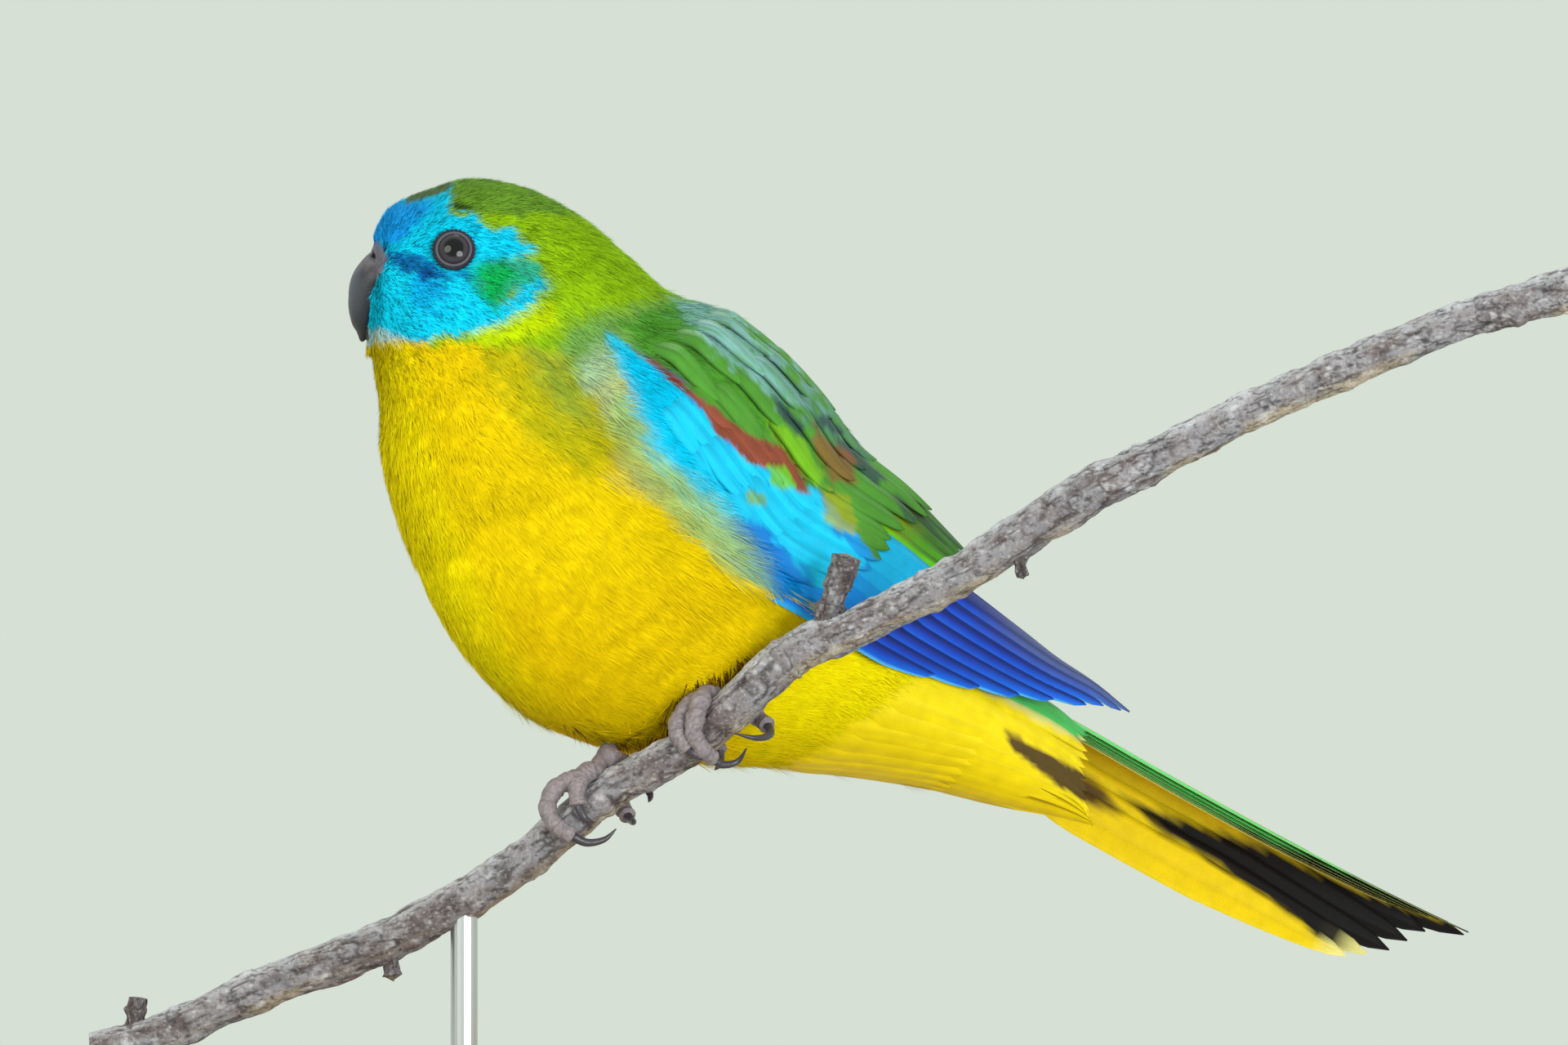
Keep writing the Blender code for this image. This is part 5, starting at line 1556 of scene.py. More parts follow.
# Rounded coverts and scapulars over the coat, the hindmost row first
COVERT_ROWS = (
    FeatherRow(6, ((10.3, 66), (10.3, 87)), ((12.2, 64), (12.1, 91)),
               (5.2, 5), 3.3, 0, 0.5, 0.05, 0.46, 2.2),
    FeatherRow(6, ((9.5, 68), (9.5, 84)), ((11.3, 66), (11.1, 88)),
               (4.8, 4.4), 3.3, 0, 0.5, 0.05, 0.46, 2.2),
    FeatherRow(5, ((8.7, 70), (8.7, 82)), ((10.4, 69), (10.2, 86)),
               (4.4, 4), 3.3, 0, 0.5, 0.05, 0.46, 2.2),
    FeatherRow(4, ((8, 71), (8, 80)), ((9.5, 71), (9.4, 83)),
               (4, 3.8), 3.1, 0, 0.5, 0.05, 0.46, 2.2),
    FeatherRow(7, ((10.2, 10), (10, 62)), ((12.6, 10), (12.1, 60)),
               (5.8, 5.4), 3.2, 0.15, 0.5, 0.05, 0.46),
    FeatherRow(7, ((9.3, 10), (9, 64)), ((11.4, 10), (11, 66)),
               (5.4, 5), 3.3, 0.1, 0.5, 0.05, 0.46),
    FeatherRow(6, ((8.4, 12), (8.1, 64)), ((10.3, 12), (9.9, 66)),
               (5, 4.6), 3.3, 0.1, 0.5, 0.05, 0.46),
    FeatherRow(6, ((7.6, 14), (7.3, 64)), ((9.3, 13), (8.9, 67)),
               (4.6, 4.2), 3.1, 0.05, 0.5, 0.05, 0.46),
)
# Long coverts over and under the root of the tail
TAIL_COVER_ROWS = (
    FeatherRow(6, ((15.3, 8), (15.3, 76)), ((18.6, 10), (18.5, 75)),
               (5, 5.2), 0.1, 0, 0.55, 0.03, 0.48, 0, 0.8),
    FeatherRow(9, ((15.2, 80), (15.4, 174)), ((18.6, 82), (18.9, 174)),
               (5.4, 6.2), 0.2, 0, 0.7, 0.03, 0.48, 0, 1),
    FeatherRow(8, ((13.6, 88), (13.2, 174)), ((16.8, 90), (16.6, 174)),
               (5.6, 6.4), 0.1, 0, 0.7, 0.03, 0.48, 0, 1),
)
# Feathers that start behind this section get fainter streaks, shafts and painted rim shade, and no
# painted root shade
HIND_S = 12.0
# Degrees round the body for each millimetre of web
WEB_DEGREES = 1.6


def primary_tint(web: Web) -> Array:
    """Deep blue with a pale outer edge; the longest are dusky above.

    Args:
        web: the feather's points.
    Returns:
        A colour for each point.
    """
    along, wide = web.along, web.wide
    dusky = smooth(0.34, 0.0, web.order + 0.25 * (0.8 - along)) * smooth(0.35, 0.6, along)
    edge = smooth(-0.80, -0.92, wide) * smooth(1.0, 0.9, along) * (1.0 - 0.5 * dusky)
    return layered(
        filled(along.shape, 4, 58, 186),
        ((0, 96, 216), smooth(0.55, 0.95, along) * 0.6),
        ((78, 90, 142), dusky),
        ((4, 22, 92), smooth(-0.45, 0.1, wide) * (1.0 - 0.5 * dusky) * 0.85),
        ((6, 110, 226), smooth(-0.35, -0.75, wide) * (1.0 - 0.7 * dusky) * 0.7),
        ((96, 204, 244), edge * 0.9),
        ((10, 26, 90), np.exp(-((wide / 0.07) ** 2)) * 0.5))


def secondary_tint(web: Web) -> Array:
    """Blue with a lighter outer edge and dark inner web.

    Args:
        web: the feather's points.
    Returns:
        A colour for each point.
    """
    along, wide = web.along, web.wide
    return layered(
        filled(along.shape, 0, 116, 222),
        ((0, 74, 200), smooth(0.3, 0.9, along) * 0.7),
        ((40, 184, 240), smooth(-0.5, -0.95, wide) * 0.8),
        ((20, 44, 96), smooth(0.1, 0.6, wide) * 0.8),
        ((6, 30, 90), np.exp(-((wide / 0.07) ** 2)) * 0.6))


def tertial_tint(web: Web) -> Array:
    """Mottled green over slate, brightest at the lowest feather's outer edge.

    Args:
        web: the feather's points.
    Returns:
        A colour for each point.
    """
    along, wide = web.along, web.wide
    run = np.stack((along * 2.2, wide * 1.6, 0 * wide + 9 * web.order), axis=-1)
    slate = smooth(-0.05, 0.3, noise(run, 1.0, 71)) * (1.0 - 0.5 * web.order)
    colour = layered(
        filled(along.shape, 58, 112, 24),
        ((140, 146, 16), smooth(0.7, 0.4, along) * web.order),
        ((34, 50, 60), slate * 0.85),
        ((104, 206, 6), smooth(0.2, -0.4, wide) * smooth(0.75, 1.0, web.order) * 0.85))
    fine = noise(np.stack((along * 5.0, wide * 9.0, 0 * wide + 5 * web.order), axis=-1), 1.0, 72)
    return colour * (1 + 0.22 * fine)[:, None]


def greater_tint(web: Web) -> Array:
    """Turquoise coverts, deeper blue toward the wing's lower edge.

    Args:
        web: the feather's points.
    Returns:
        A colour for each point.
    """
    along, wide = web.along, web.wide
    return layered(
        filled(along.shape, 0, 182, 236),
        ((0, 112, 220), smooth(0.2, 0.8, web.order) * (0.5 + 0.5 * along)),
        # darker inner web, partly own colour and partly painted shade in the gaps between feathers
        ((0, 112, 196), smooth(0.3, 0.8, wide) * 0.5),
        ((60, 200, 246), smooth(-0.8, -0.98, wide) * 0.35))


def marked_tint(row: FeatherRow, markings: "Markings") -> VaneTint:
    """Tint of a row that shows the plumage's own markings, with painted shade at
    its feathers' rims and, for those that start ahead of HIND_S, at their roots.

    Args:
        row: the row.
        markings: the plumage's markings.
    Returns:
        The tint.
    """

    def tint(web: Web) -> Array:
        """The markings under each point of the feather.

        Args:
            web: the feather's points.
        Returns:
            A colour for each point.
        """
        along, wide = web.along, web.wide
        s, angle = row.run(web.order)
        reach = row.widths[0] + (row.widths[1] - row.widths[0]) * web.order
        place = angle[0] + (angle[1] - angle[0]) * along - wide * reach * WEB_DEGREES
        colour = markings.shown(web.points, s[0] + (s[1] - s[0]) * along, place)
        strong = 1.0 if s[0] < HIND_S else 0.3
        # painted shade along each feather's edges and tip; the dark shaft is its own colour
        rim = smooth(0.72, 1.0, np.abs(wide)) * 0.26 + smooth(0.9, 1.0, along) * 0.16
        shaft = 0.14 * np.exp(-((wide / 0.08) ** 2))
        streak = 0.13 * noise(np.stack((along * 3.0, wide * 8.0, 0 * wide + 7 * web.order), -1),
                              1.0, 75)
        # painted shade at the root, where the feather lies under those before it
        root = 0.22 * smooth(0.5, 0.2, along) if s[0] <= HIND_S else 0.0
        return colour * (0.94 + streak * strong - (rim + shaft) * strong - root)[:, None]

    return tint


@dataclass
class Wing:
    """One folded wing of loose feathers."""

    sheath: Envelope
    name: str
    side: float
    markings: Markings
    rng: np.random.Generator = field(default_factory=lambda: np.random.default_rng(SEED + 1))

    def build(self) -> None:
        """The rows, lowest first."""
        primaries = VaneSet()
        PRIMARY_ROW.lay(self.sheath, self.side, primary_tint, primaries, self.rng)
        primaries.build(f"wing_{self.name}_long_feathers", (f"wing_{self.name}_primaries",))
        inner = VaneSet()
        SECONDARY_ROW.lay(self.sheath, self.side, secondary_tint, inner, self.rng)
        TERTIAL_ROW.lay(self.sheath, self.side, tertial_tint, inner, self.rng)
        inner.build(f"wing_{self.name}_inner_feathers", (f"wing_{self.name}_secondaries",))
        covers = VaneSet()
        GREATER_ROW.lay(self.sheath, self.side, greater_tint, covers, self.rng)
        for row in COVERT_ROWS:
            row.lay(self.sheath, self.side, marked_tint(row, self.markings), covers, self.rng)
        covers.build(f"wing_{self.name}_cover_feathers", (f"wing_{self.name}_coverts",))


# Pairs from the middle out: length share; way down the left slope at the root and at
# the tip, the same on the right; width
TAIL_PAIRS = (
    (1.00, 2.4, 0.8, 2.8, 0.6, 7), (0.94, 3, 1.8, 4.6, 2.6, 7.4), (0.92, 3.6, 2.3, 6.4, 5, 7.4),
    (0.90, 4.2, 2.7, 8.2, 7.4, 7), (0.87, 4.8, 3.1, 10, 9.4, 6.8), (0.84, 5.4, 3.5, 11.8, 11, 6.6),
)


@dataclass
class Tail:
    """The long graduated tail, folded like a roof.

    root and tip are places in the view's plane. The ridge rises over the line
    between them and dips at the root. Each slope falls by its angle in slopes,
    left then right, and starts at the share crest of that, which it leaves over
    the width bend. step is the drop from one pair of feathers to the next.
    """

    body: Envelope
    root: Tuple[float, float] = (22.0, -25.2)
    tip: Tuple[float, float] = (100.2, -60.1)
    ridge: float = 9.5
    ridge_dip: float = 2.2
    slopes: Tuple[float, float] = (50.0, 40.0)
    bend: float = 3.0
    crest: float = 0.6
    step: float = 0.2

    def axes(self) -> Tuple[Array, Array, Array, float]:
        """Backward, left and up directions of the tail, and its length.

        Returns:
            The three unit directions, and the length in millimetres.
        """
        run = (self.tip[0] - self.root[0]) / math.cos(math.radians(TAIL_YAW))
        drop = self.tip[1] - self.root[1]
        front, left, top = axes_of(TAIL_YAW, TAIL_ROLL, math.degrees(math.atan2(-drop, run)))
        return -front, left, top, math.hypot(run, drop)

    def start(self) -> Array:
        """Where the tail's middle leaves the body's core.

        Returns:
            The point.
        """
        middle = spline(self.body.middle, 15.0)
        front = axes_of(BODY_YAW, 0.0)[0]
        run = (self.root[0] - middle[0]) / front[0]
        return np.array((self.root[0], middle[1] + front[1] * run, self.root[1]))

    def place(self, share: Array, down: Array, sign: float) -> Tuple[Array, Array, Array]:
        """Points of the roof, and the directions out of it and down its slope.

        Args:
            share: how far along the tail.
            down: way down the slope from the ridge, in millimetres.
            sign: +1 on the left slope, -1 on the right.
        Returns:
            The points, and both directions at each.
        """
        back, left, top, length = self.axes()
        slope = math.radians(self.slopes[0] if sign > 0 else self.slopes[1])
        near = np.minimum(down, self.bend)
        beyond = np.maximum(down - self.bend, 0.0)
        first = slope * self.crest
        bend = slope * (1.0 - self.crest) / self.bend
        angle = first + bend * near
        side = (np.sin(angle) - math.sin(first)) / bend + beyond * math.cos(slope)
        drop = (math.cos(first) - np.cos(angle)) / bend + beyond * math.sin(slope)
        ridge = self.ridge * np.clip(1.0 - share, 0.0, 1.0) ** 1.6
        ridge = ridge - self.ridge_dip * smooth(0.3, 0.0, share) - drop
        points = self.start() + back * (length * share)[..., None]
        points = points + left * (sign * side)[..., None] + top * ridge[..., None]
        across = left * (sign * np.cos(angle))[..., None] - top * np.sin(angle)[..., None]
        out = top * np.cos(angle)[..., None] + left * (sign * np.sin(angle))[..., None]
        return points, out, across

    @staticmethod
    def under_tint(index: int, sign: float, web: Web) -> Array:
        """Yellow undersides, with the dark webs and tips of the middle feathers.

        Args:
            index: which pair, from the middle out.
            sign: +1 on the left, -1 on the right.
            web: the feather's points.
        Returns:
            A colour for each point.
        """
        along, wide, points = web.along, web.wide, web.points
        u, v = on_view(points)
        jag = 3.0 * noise(points, 1.2, 31)
        dark = smooth(-4, 4, in_polygon(u, v, TAIL_DARK) + jag)
        bar = smooth(-5, 5, in_polygon(u, v, TAIL_BAR) + jag)
        colour = layered(filled(along.shape, 246, 212, 0), ((7, 1, 4), dark),
                         ((74, 46, 26), bar * 0.95))
        if index > 3:
            colour = layered(colour, ((250, 240, 150), smooth(0.92, 0.99, along)))
        if sign > 0:
            edge = smooth(0.7, 0.95, wide) * (1.0 - dark)
            colour = layered(colour, ((250, 234, 150), edge * 0.8))
        line = np.exp(-((wide / 0.06) ** 2))
        return layered(colour, ((190, 156, 10), line * 0.2 * (1.0 - dark)))

    @staticmethod
    def upper_tint(index: int, web: Web) -> Array:
        """Green upper sides with dark ends; the outermost has a pale edge.

        Args:
            index: which pair, from the middle out.
            web: the feather's points.
        Returns:
            A colour for each point.
        """
        along, wide, points = web.along, web.wide, web.points
        reach = along * (0.7 + 0.03 * index) / 0.7
        dark = smooth(0.66, 0.84, reach + 0.08 * noise(points, 3.0, 33))
        colour = layered(filled(along.shape, 88, 226, 112),
                         ((48, 160, 70), smooth(0.3, 0.9, wide) * 0.35),
                         ((8, 18, 16), dark * 0.95))
        if index == len(TAIL_PAIRS) - 1:
            colour = layered(colour, ((240, 222, 120), smooth(0.6, 0.8, wide)))
        return colour

    def build_covers(self, markings: "Markings") -> None:
        """The coverts over its root, on both sides.

        Args:
            markings: the plumage's markings.
        """
        covers = VaneSet()
        rng = np.random.default_rng(SEED + 2)
        for row in TAIL_COVER_ROWS:
            for side in (1.0, -1.0):
                row.lay(self.body, side, marked_tint(row, markings), covers, rng)
        covers.build("tail_cover_feathers", (), "plumage_yellow")

    def build(self) -> None:
        """Twelve feathers in one piece."""
        feathers = VaneSet()
        rows = 28
        share = np.linspace(0.0, 1.0, rows)
        for index, (reach, *ways, width) in enumerate(TAIL_PAIRS):
            for sign in (1.0, -1.0):
                near, far = ways[:2] if sign > 0 else ways[2:]
                fan = 0.45 + 0.55 * smooth(0.0, 0.34, share * reach)
                down = fan * (near + (far - near) * share)
                middle, normal, across = self.place(share * reach, down, sign)
                middle = middle - normal * (self.step * index)
                outline = feather_outline(rows, 0.5) * width
                outer = 0.5 if index == 0 else 0.46
                inner = np.minimum(outline * (1 - outer), down + 0.3)
                feathers.add(middle, across, normal, inner, outline * outer,
                             partial(self.upper_tint, index), 1.0, 0.12, 0.06,
                             below=partial(self.under_tint, index, sign))
        feathers.build("tail_long_feathers", ("tail_feathers",), "plumage_yellow")


Rows = Tuple[Tuple[float, ...], ...]


@dataclass
class Head:
    """Eyes with their lids, and the bill with its cere."""

    body: Envelope
    # rings of the lids: radius, rise over the rim, thickness, beads, colour
    lids: Rows = ((2.5, 0.06, 0.24, 0, 70, 66, 78), (2.84, -0.16, 0.32, 30, 20, 18, 28))
    # radius at which the lids leave the eyeball, and points along and round a ring
    rim: float = 2.45
    lid_grid: Tuple[int, int] = (180, 12)
    # sections of the bill: x and z of the middle, half depth, half width
    upper: Rows = ((-52.5, 36.2, 3.4, 3.4), (-57.0, 37.0, 4.1, 4.4), (-60.1, 35.3, 3.5, 4.3),
                   (-61.4, 32.4, 2.7, 3.8), (-61.8, 29.8, 1.9, 2.9), (-61.8, 28.1, 1.1, 1.8),
                   (-62.0, 26.7, 0.35, 0.5))
    lower: Rows = ((-52.0, 27.6, 2.0, 3.0), (-57.0, 27.4, 2.2, 3.4), (-60.2, 27.9, 1.7, 2.7),
                   (-61.6, 29.0, 0.8, 1.6))
    bill_sides: int = 48
    # pits of the nostrils: x, z and distance from the bill's middle plane
    pit: Tuple[float, float, float] = (-60.4, 39.2, 2.4)

    def eye_place(self, side: float) -> Tuple[Array, Array]:
        """Centre and outward direction of an eye; side is +1 left, -1 right.

        Args:
            side: which eye.
        Returns:
            The centre and the direction.
        """
        s, angle = np.meshgrid(np.linspace(1.5, 4.0, 51), np.linspace(30.0, 110.0, 81),
                               indexing="ij")
        point = self.body.at(s, angle)
        miss = np.hypot(point[..., 0] - EYE_AT[0], point[..., 2] - EYE_AT[1])
        i = np.unravel_index(np.argmin(miss), miss.shape)
        point = self.body.at(s[i], side * angle[i])
        out = self.body.normal(s[i], side * angle[i])
        return point - out * EYE_DEPTH, out

    def build_eye(self, name: str, side: float) -> Array:
        """Eyeball and lids on one side.

        Args:
            name: left or right.
            side: +1 left, -1 right.
        Returns:
            The eye's centre.
        """
        centre, out = self.eye_place(side)
        first = unit(np.cross(out, np.array((0.0, 0.0, 1.0))))
        second = np.cross(out, first)
        rows, columns = 60, 72
        polar = np.linspace(0.001, math.pi - 0.001, rows)[:, None, None]
        turn = round_turn(columns)[None, :, None]
        ray = first * np.cos(turn) + second * np.sin(turn)
        shell = out * np.cos(polar) + ray * np.sin(polar)
        points = (centre + shell * EYE_RADIUS).reshape(-1, 3)
        reach = (np.sin(polar) * EYE_RADIUS)[..., 0] * np.ones((1, columns))
        radial = noise(np.stack((np.cos(turn[..., 0]) * 9 + 0 * reach,
                                 np.sin(turn[..., 0]) * 9 + 0 * reach, reach * 0.8), -1), 1.0, 4)
        light = smooth(1.4, 1.65, reach) * smooth(2.2, 1.9, reach)
        colour = layered(filled(reach.shape, 32, 27, 31), ((56, 51, 60), light * 0.8))
        colour = layered(colour * (1 + 0.18 * radial)[..., None],
                         ((5, 5, 7), smooth(1.42, 1.28, reach)),
                         ((16, 12, 16), smooth(2.2, 2.4, reach)))
        build_mesh(f"eyeball_{name}", points, grid_faces(rows, columns, True),
                   FINISHES["eye"], colour.reshape(-1, 3),
                   stands_for=(f"eye_{name}",))
        self.build_lids(name, centre, out, first, second)
        return centre

    def build_lids(self, name: str, centre: Array, out: Array, first: Array,
                   second: Array) -> None:
        """Two rings of bare skin, the outer one beaded.

        Args:
            name: left or right.
            centre: the eye's centre.
            out, first, second: directions out of the eye and across it.
        """
        parts = []
        rings, sides = self.lid_grid
        lift = math.sqrt(EYE_RADIUS**2 - self.rim**2)
        turn, roll = round_turn(rings)[:, None], round_turn(sides)[None, :]
        ray = first * np.cos(turn)[..., None] + second * np.sin(turn)[..., None]
        i, j = np.arange(rings)[:, None], np.arange(sides)[None, :]
        ahead, beside = (i + 1) % rings * sides, (j + 1) % sides
        i = i * sides
        quads = np.stack((i + j, i + beside, ahead + beside, ahead + j), axis=-1).reshape(-1, 4)
        # painted light: each ring is lighter on its outward side
        lit = 0.75 + 0.5 * (np.sin(roll) * 0.5 + 0.5)
        for reach, rise, thick, beads, *tone in self.lids:
            bumps = 0.28 * np.cos(turn * beads) if beads else 0.0
            size = thick * (1.0 + bumps * np.ones_like(roll))
            ring = centre + ray * (reach + size * np.cos(roll))[..., None]
            ring = ring + out * (lift + rise + size * np.sin(roll) * 0.9)[..., None]
            tint = rgb(*tone) * (lit * np.ones((rings, 1)))[..., None]
            parts.append((ring.reshape(-1, 3), quads, tint.reshape(-1, 3)))
        points, faces, tints = joined(parts)
        build_mesh(f"lids_{name}", points, faces, FINISHES["scales"], tints)

    def build_bill(self) -> None:
        """Both halves of the bill."""
        front, left, top = axes_of(HEAD_YAW, 0.0)
        start = spline(self.body.middle, 1.0)
        for name, table in (("upper", self.upper), ("lower", self.lower)):
            steps = np.linspace(0, len(table) - 1, 20 * (len(table) - 1))
            fine = spline(np.array(table), steps)
            line = np.array([start + in_plane(front, top, x - start[0], z - start[2])
                             for x, z in fine[:, :2]])
            tangent = unit(np.gradient(line, axis=0))
            normal = np.cross(tangent, left)
            turn = round_turn(self.bill_sides)
            ring = normal[:, None] * (np.cos(turn)[None] * fine[:, 2:3])[..., None]
            ring = ring + left * (np.sin(turn)[None] * fine[:, 3:4])[..., None]
            grid = line[:, None] + ring
            tip = line[-1] + tangent[-1] * 0.2
            grid = np.concatenate((grid[:1] * 0.02 + line[0] * 0.98, grid,
                                   grid[-1:] * 0.02 + tip * 0.98))
            points = grid.reshape(-1, 3)
            u, v = on_view(points)
            cere = smooth(14, -14, v - 330 + 10 * noise(points, 1.2, 2)) * (name == "upper")
            streaks = noise(points * np.array((1.0, 1.0, 0.25)), 0.6, 9)
            # painted highlight on the front of the bill
            front_light = smooth(452, 430, u) * smooth(420, 340, v)
            mottle = 1.0 + 0.5 * noise(points, 0.35, 12) * cere
            colour = layered(filled(u.shape, 36, 34, 40) * (1 + 0.16 * streaks)[:, None],
                             ((92, 94, 106), front_light * 0.6),
                             ((26, 24, 30), smooth(370, 420, v) * 0.7),
                             ((104, 98, 106), cere * 0.75)) * mottle[:, None]
            if name == "upper":
                x, z, wide = self.pit
                middle = start + in_plane(front, top, x - start[0], z - start[2])
                for side in (1.0, -1.0):
                    away = np.linalg.norm(points - middle - left * side * wide, axis=1)
                    depth = 0.9 * np.exp(-((away / 0.75) ** 2))
                    points = points - left * side * depth[:, None]
                    # painted shade in the nostril pits
                    colour = layered(colour, ((18, 14, 16), np.exp(-((away / 0.8) ** 4))))
            build_mesh(f"bill_{name}_horn", points, grid_faces(len(grid), self.bill_sides, True),
                       FINISHES["horn"], colour, stands_for=(f"bill_{name}",))

    def build(self) -> List[Array]:
        """Builds it all.

        Returns:
            The eyes' centres.
        """
        centres = [self.build_eye("left", 1.0), self.build_eye("right", -1.0)]
        self.build_bill()
        return centres


@dataclass
class Perch:
    """The cut branch with its stubs, buds and bark."""

    rings: int = 620
    sides: int = 72
    # stubs and buds: x and z of the foot, x and z of the end, radius at each
    stubs: Rows = ((6.4, -16.6, 9.2, -5.0, 2.5, 2.0), (-95.6, -76.0, -95.0, -69.8, 2.2, 1.5),
                   (34.6, -4.6, 35.2, -7.9, 1.9, 1.0), (-58.0, -62.5, -57.4, -66.6, 1.9, 0.9))
    stub_grid: Tuple[int, int] = (60, 48)

    @staticmethod
    def frame(x: float) -> Tuple[Array, Array, Array, Array]:
        """Point on the branch at x, and its directions along, up and to the front.

        Args:
            x: the place across the view.
        Returns:
            The point and the three unit directions.
        """
        rows = np.array(BRANCH_POINTS)
        z = np.interp((x - 2.0, x, x + 2.0), rows[:, 0], rows[:, 1])
        y = BRANCH_SLANT * (x - BRANCH_PIVOT)
        along = unit(np.array((4.0, 4.0 * BRANCH_SLANT, z[2] - z[0])))
        front = np.array((0.0, -1.0, 0.0))
        front = unit(front - along * np.dot(front, along))
        up = np.cross(front, along)
        return np.array((x, y, z[1])), along, (up if up[2] > 0 else -up), front

    @staticmethod
    def tint(grain: Array, height: Array) -> Array:
        """Purple-brown flanks, a pale peeling underside, and a painted highlight that silvers the
        top.

        Args:
            grain: places in the bark's grain.
            height: how far each faces up, from -1 to 1.
        Returns:
            A colour for each point.
        """
        patches = noise(grain, 1.0, 12) + 0.5 * noise(grain, 0.45, 14)
        pale = smooth(-0.3, -0.8, height) * smooth(-0.2, 0.4, noise(grain, 1.6, 13))
        fine = noise(grain, 0.22, 15) + 0.6 * noise(grain, 0.11, 16)
        return layered(filled(height.shape, 138, 134, 139),
                       ((90, 78, 80), smooth(0.0, 0.7, patches) * 0.8),
                       ((178, 160, 132), pale * 0.7),
                       # painted highlight: the bark is paler where it faces up
                       ((204, 204, 212), smooth(0.2, 0.9, height) * 0.65),
                       ((60, 50, 50), smooth(0.35, 0.9, fine) * 0.7),
                       ((216, 214, 218), smooth(-0.4, -0.95, fine) * 0.5))

    def build(self) -> None:
        """The branch and its stubs in one piece."""
        rows = np.array(BRANCH_POINTS)
        steps = np.linspace(0, len(rows) - 1, self.rings)
        flat = spline(rows, steps)
        depth = BRANCH_SLANT * (flat[:, 0] - BRANCH_PIVOT)
        line = np.column_stack((flat[:, 0], depth, flat[:, 1]))
        lines = [(line, flat[:, 2], self.sides)]
        for fx, fz, tx, tz, wide, thin in self.stubs:
            share = np.linspace(0.0, 1.0, self.stub_grid[0])[:, None]
            foot = np.array((fx, BRANCH_SLANT * (fx - BRANCH_PIVOT), fz))
            tip = np.array((tx, BRANCH_SLANT * (tx - BRANCH_PIVOT) - 0.4, tz))
            radius = wide + (thin - wide) * share[:, 0]
            radius = radius * (1 - 0.22 * np.exp(-(((share[:, 0] - 0.5) / 0.22) ** 2)))
            lines.append((foot + (tip - foot) * share, radius, self.stub_grid[1]))
        parts = []
        for path, radii, sides in lines:
            base = tube_points(path, radii, sides)
            centre = np.repeat(np.concatenate((path[:1], path, path[-1:])), sides, axis=0)
            out = unit(base - centre)
            length = np.repeat(np.concatenate((run_along(path), (0.0, 0.0))), sides)
            grain = np.column_stack((length / 4.5, out[:, 1] * 1.3, out[:, 2] * 1.3 + out[:, 0]))
            bump = 0.34 * noise(base, 3.2, 51) + 0.20 * noise(grain, 0.5, 52)
            bump += 0.10 * noise(grain, 0.2, 53)
            long_grain = grain * np.array((0.45, 1.0, 1.0))
            crack = smooth(0.16, 0.02, np.abs(noise(long_grain, 0.42, 55)))
            crack = crack * smooth(-0.1, 0.4, noise(grain, 0.9, 56))
            crack += 0.8 * smooth(0.14, 0.02, np.abs(noise(long_grain, 0.2, 57)))
            crack = np.clip(crack, 0.0, 1.0)
            bump -= 0.22 * crack
            level = np.stack((length, 0 * length, 0 * length), axis=-1)
            rings = np.maximum(noise(level, 1.5, 54) - 0.45, 0.0)
            if path is not line:
                bump = bump * 1.8
            moved = base + out * (bump + (0.5 if path is line else 1.0) * rings)[:, None]
            # painted shade and light of the relief: the tone is darker in the hollows and lighter
            # on raised bark
            tone = self.tint(grain, out[:, 2]) * (1 + 0.6 * bump)[:, None]
            tone = mix(tone, rgb(48, 40, 42), crack * 0.85)
            faces = grid_faces(len(base) // sides, sides, True)
            parts.append((moved, faces, tone if path is line else tone * 0.6))
        points, faces, tints = joined(parts)
        build_mesh("perch_bark", points, faces, FINISHES["bark"], tints,
                   stands_for=("perch_branch",))


Frame = Tuple[Array, Array, Array, Array]
# Places round the branch are (along it, degrees from its top to the front, out from its middle)
FEET = {
    "left": {
        "at": -15.0,
        "hub": (7.2, -2.0, 4.8),
        "knee": (-8.0, 13.0, -20.0),
        "toes": (
            ((7.4, 14, 4.7), (5.6, 48, 4.8), (3.6, 78, 4.7), (3.3, 110, 4.6), (3.5, 140, 4.6)),
            ((6.2, 0, 4.7), (2.8, 34, 4.7), (1.4, 64, 4.6), (1.5, 94, 4.5)),
            ((7.6, -18, 4.7), (9.2, -62, 4.8), (10.8, -105, 4.8), (12.1, -150, 4.9)),
            ((6.6, -20, 4.7), (5.2, -60, 4.8), (4.3, -100, 4.8), (3.9, -132, 4.7)),
        ),
        "claws": (
            ((3.5, 143, 4.6), (4.0, 158, 5.6), (6.0, 170, 6.2), (8.3, 160, 5.6)),
            ((1.6, 98, 4.5), (2.2, 118, 4.9), (2.9, 136, 4.4)),
            ((12.2, -156, 4.9), (12.0, -182, 5.6), (10.4, -212, 5.6), (8.5, -240, 4.9)),
            ((3.9, -136, 4.7), (3.2, -154, 5.3), (2.2, -172, 5.2)),
        ),
    },
    "right": {
        "at": -32.4,
        "hub": (9.6, -10.0, 4.3),
        "knee": (-20.0, 22.0, -24.0),
        "toes": (
            ((9.0, 4, 4.35), (6.9, 20, 4.9), (3.6, 24, 6.0), (0.9, 42, 5.6), (0.2, 74, 4.9),
             (1.1, 108, 4.7)),
            ((8.8, 6, 4.5), (6.3, 34, 4.8), (4.7, 70, 4.6)),
            ((10.2, -20, 4.7), (9.2, -68, 4.8), (8.3, -120, 4.8), (8.4, -150, 4.8)),
            ((11.2, -16, 4.7), (12.4, -62, 4.8), (12.9, -108, 4.7)),
        ),
        "claws": (
            ((1.2, 112, 4.7), (2.2, 134, 5.3), (4.4, 150, 5.6), (6.6, 154, 5.2)),
            ((4.6, 74, 4.6), (4.3, 98, 4.9), (4.9, 116, 4.4)),
            ((8.4, -154, 4.8), (8.8, -176, 5.4), (9.3, -194, 5.0)),
            ((12.9, -112, 4.7), (12.8, -136, 5.2), (12.2, -156, 4.9)),
        ),
    },
}


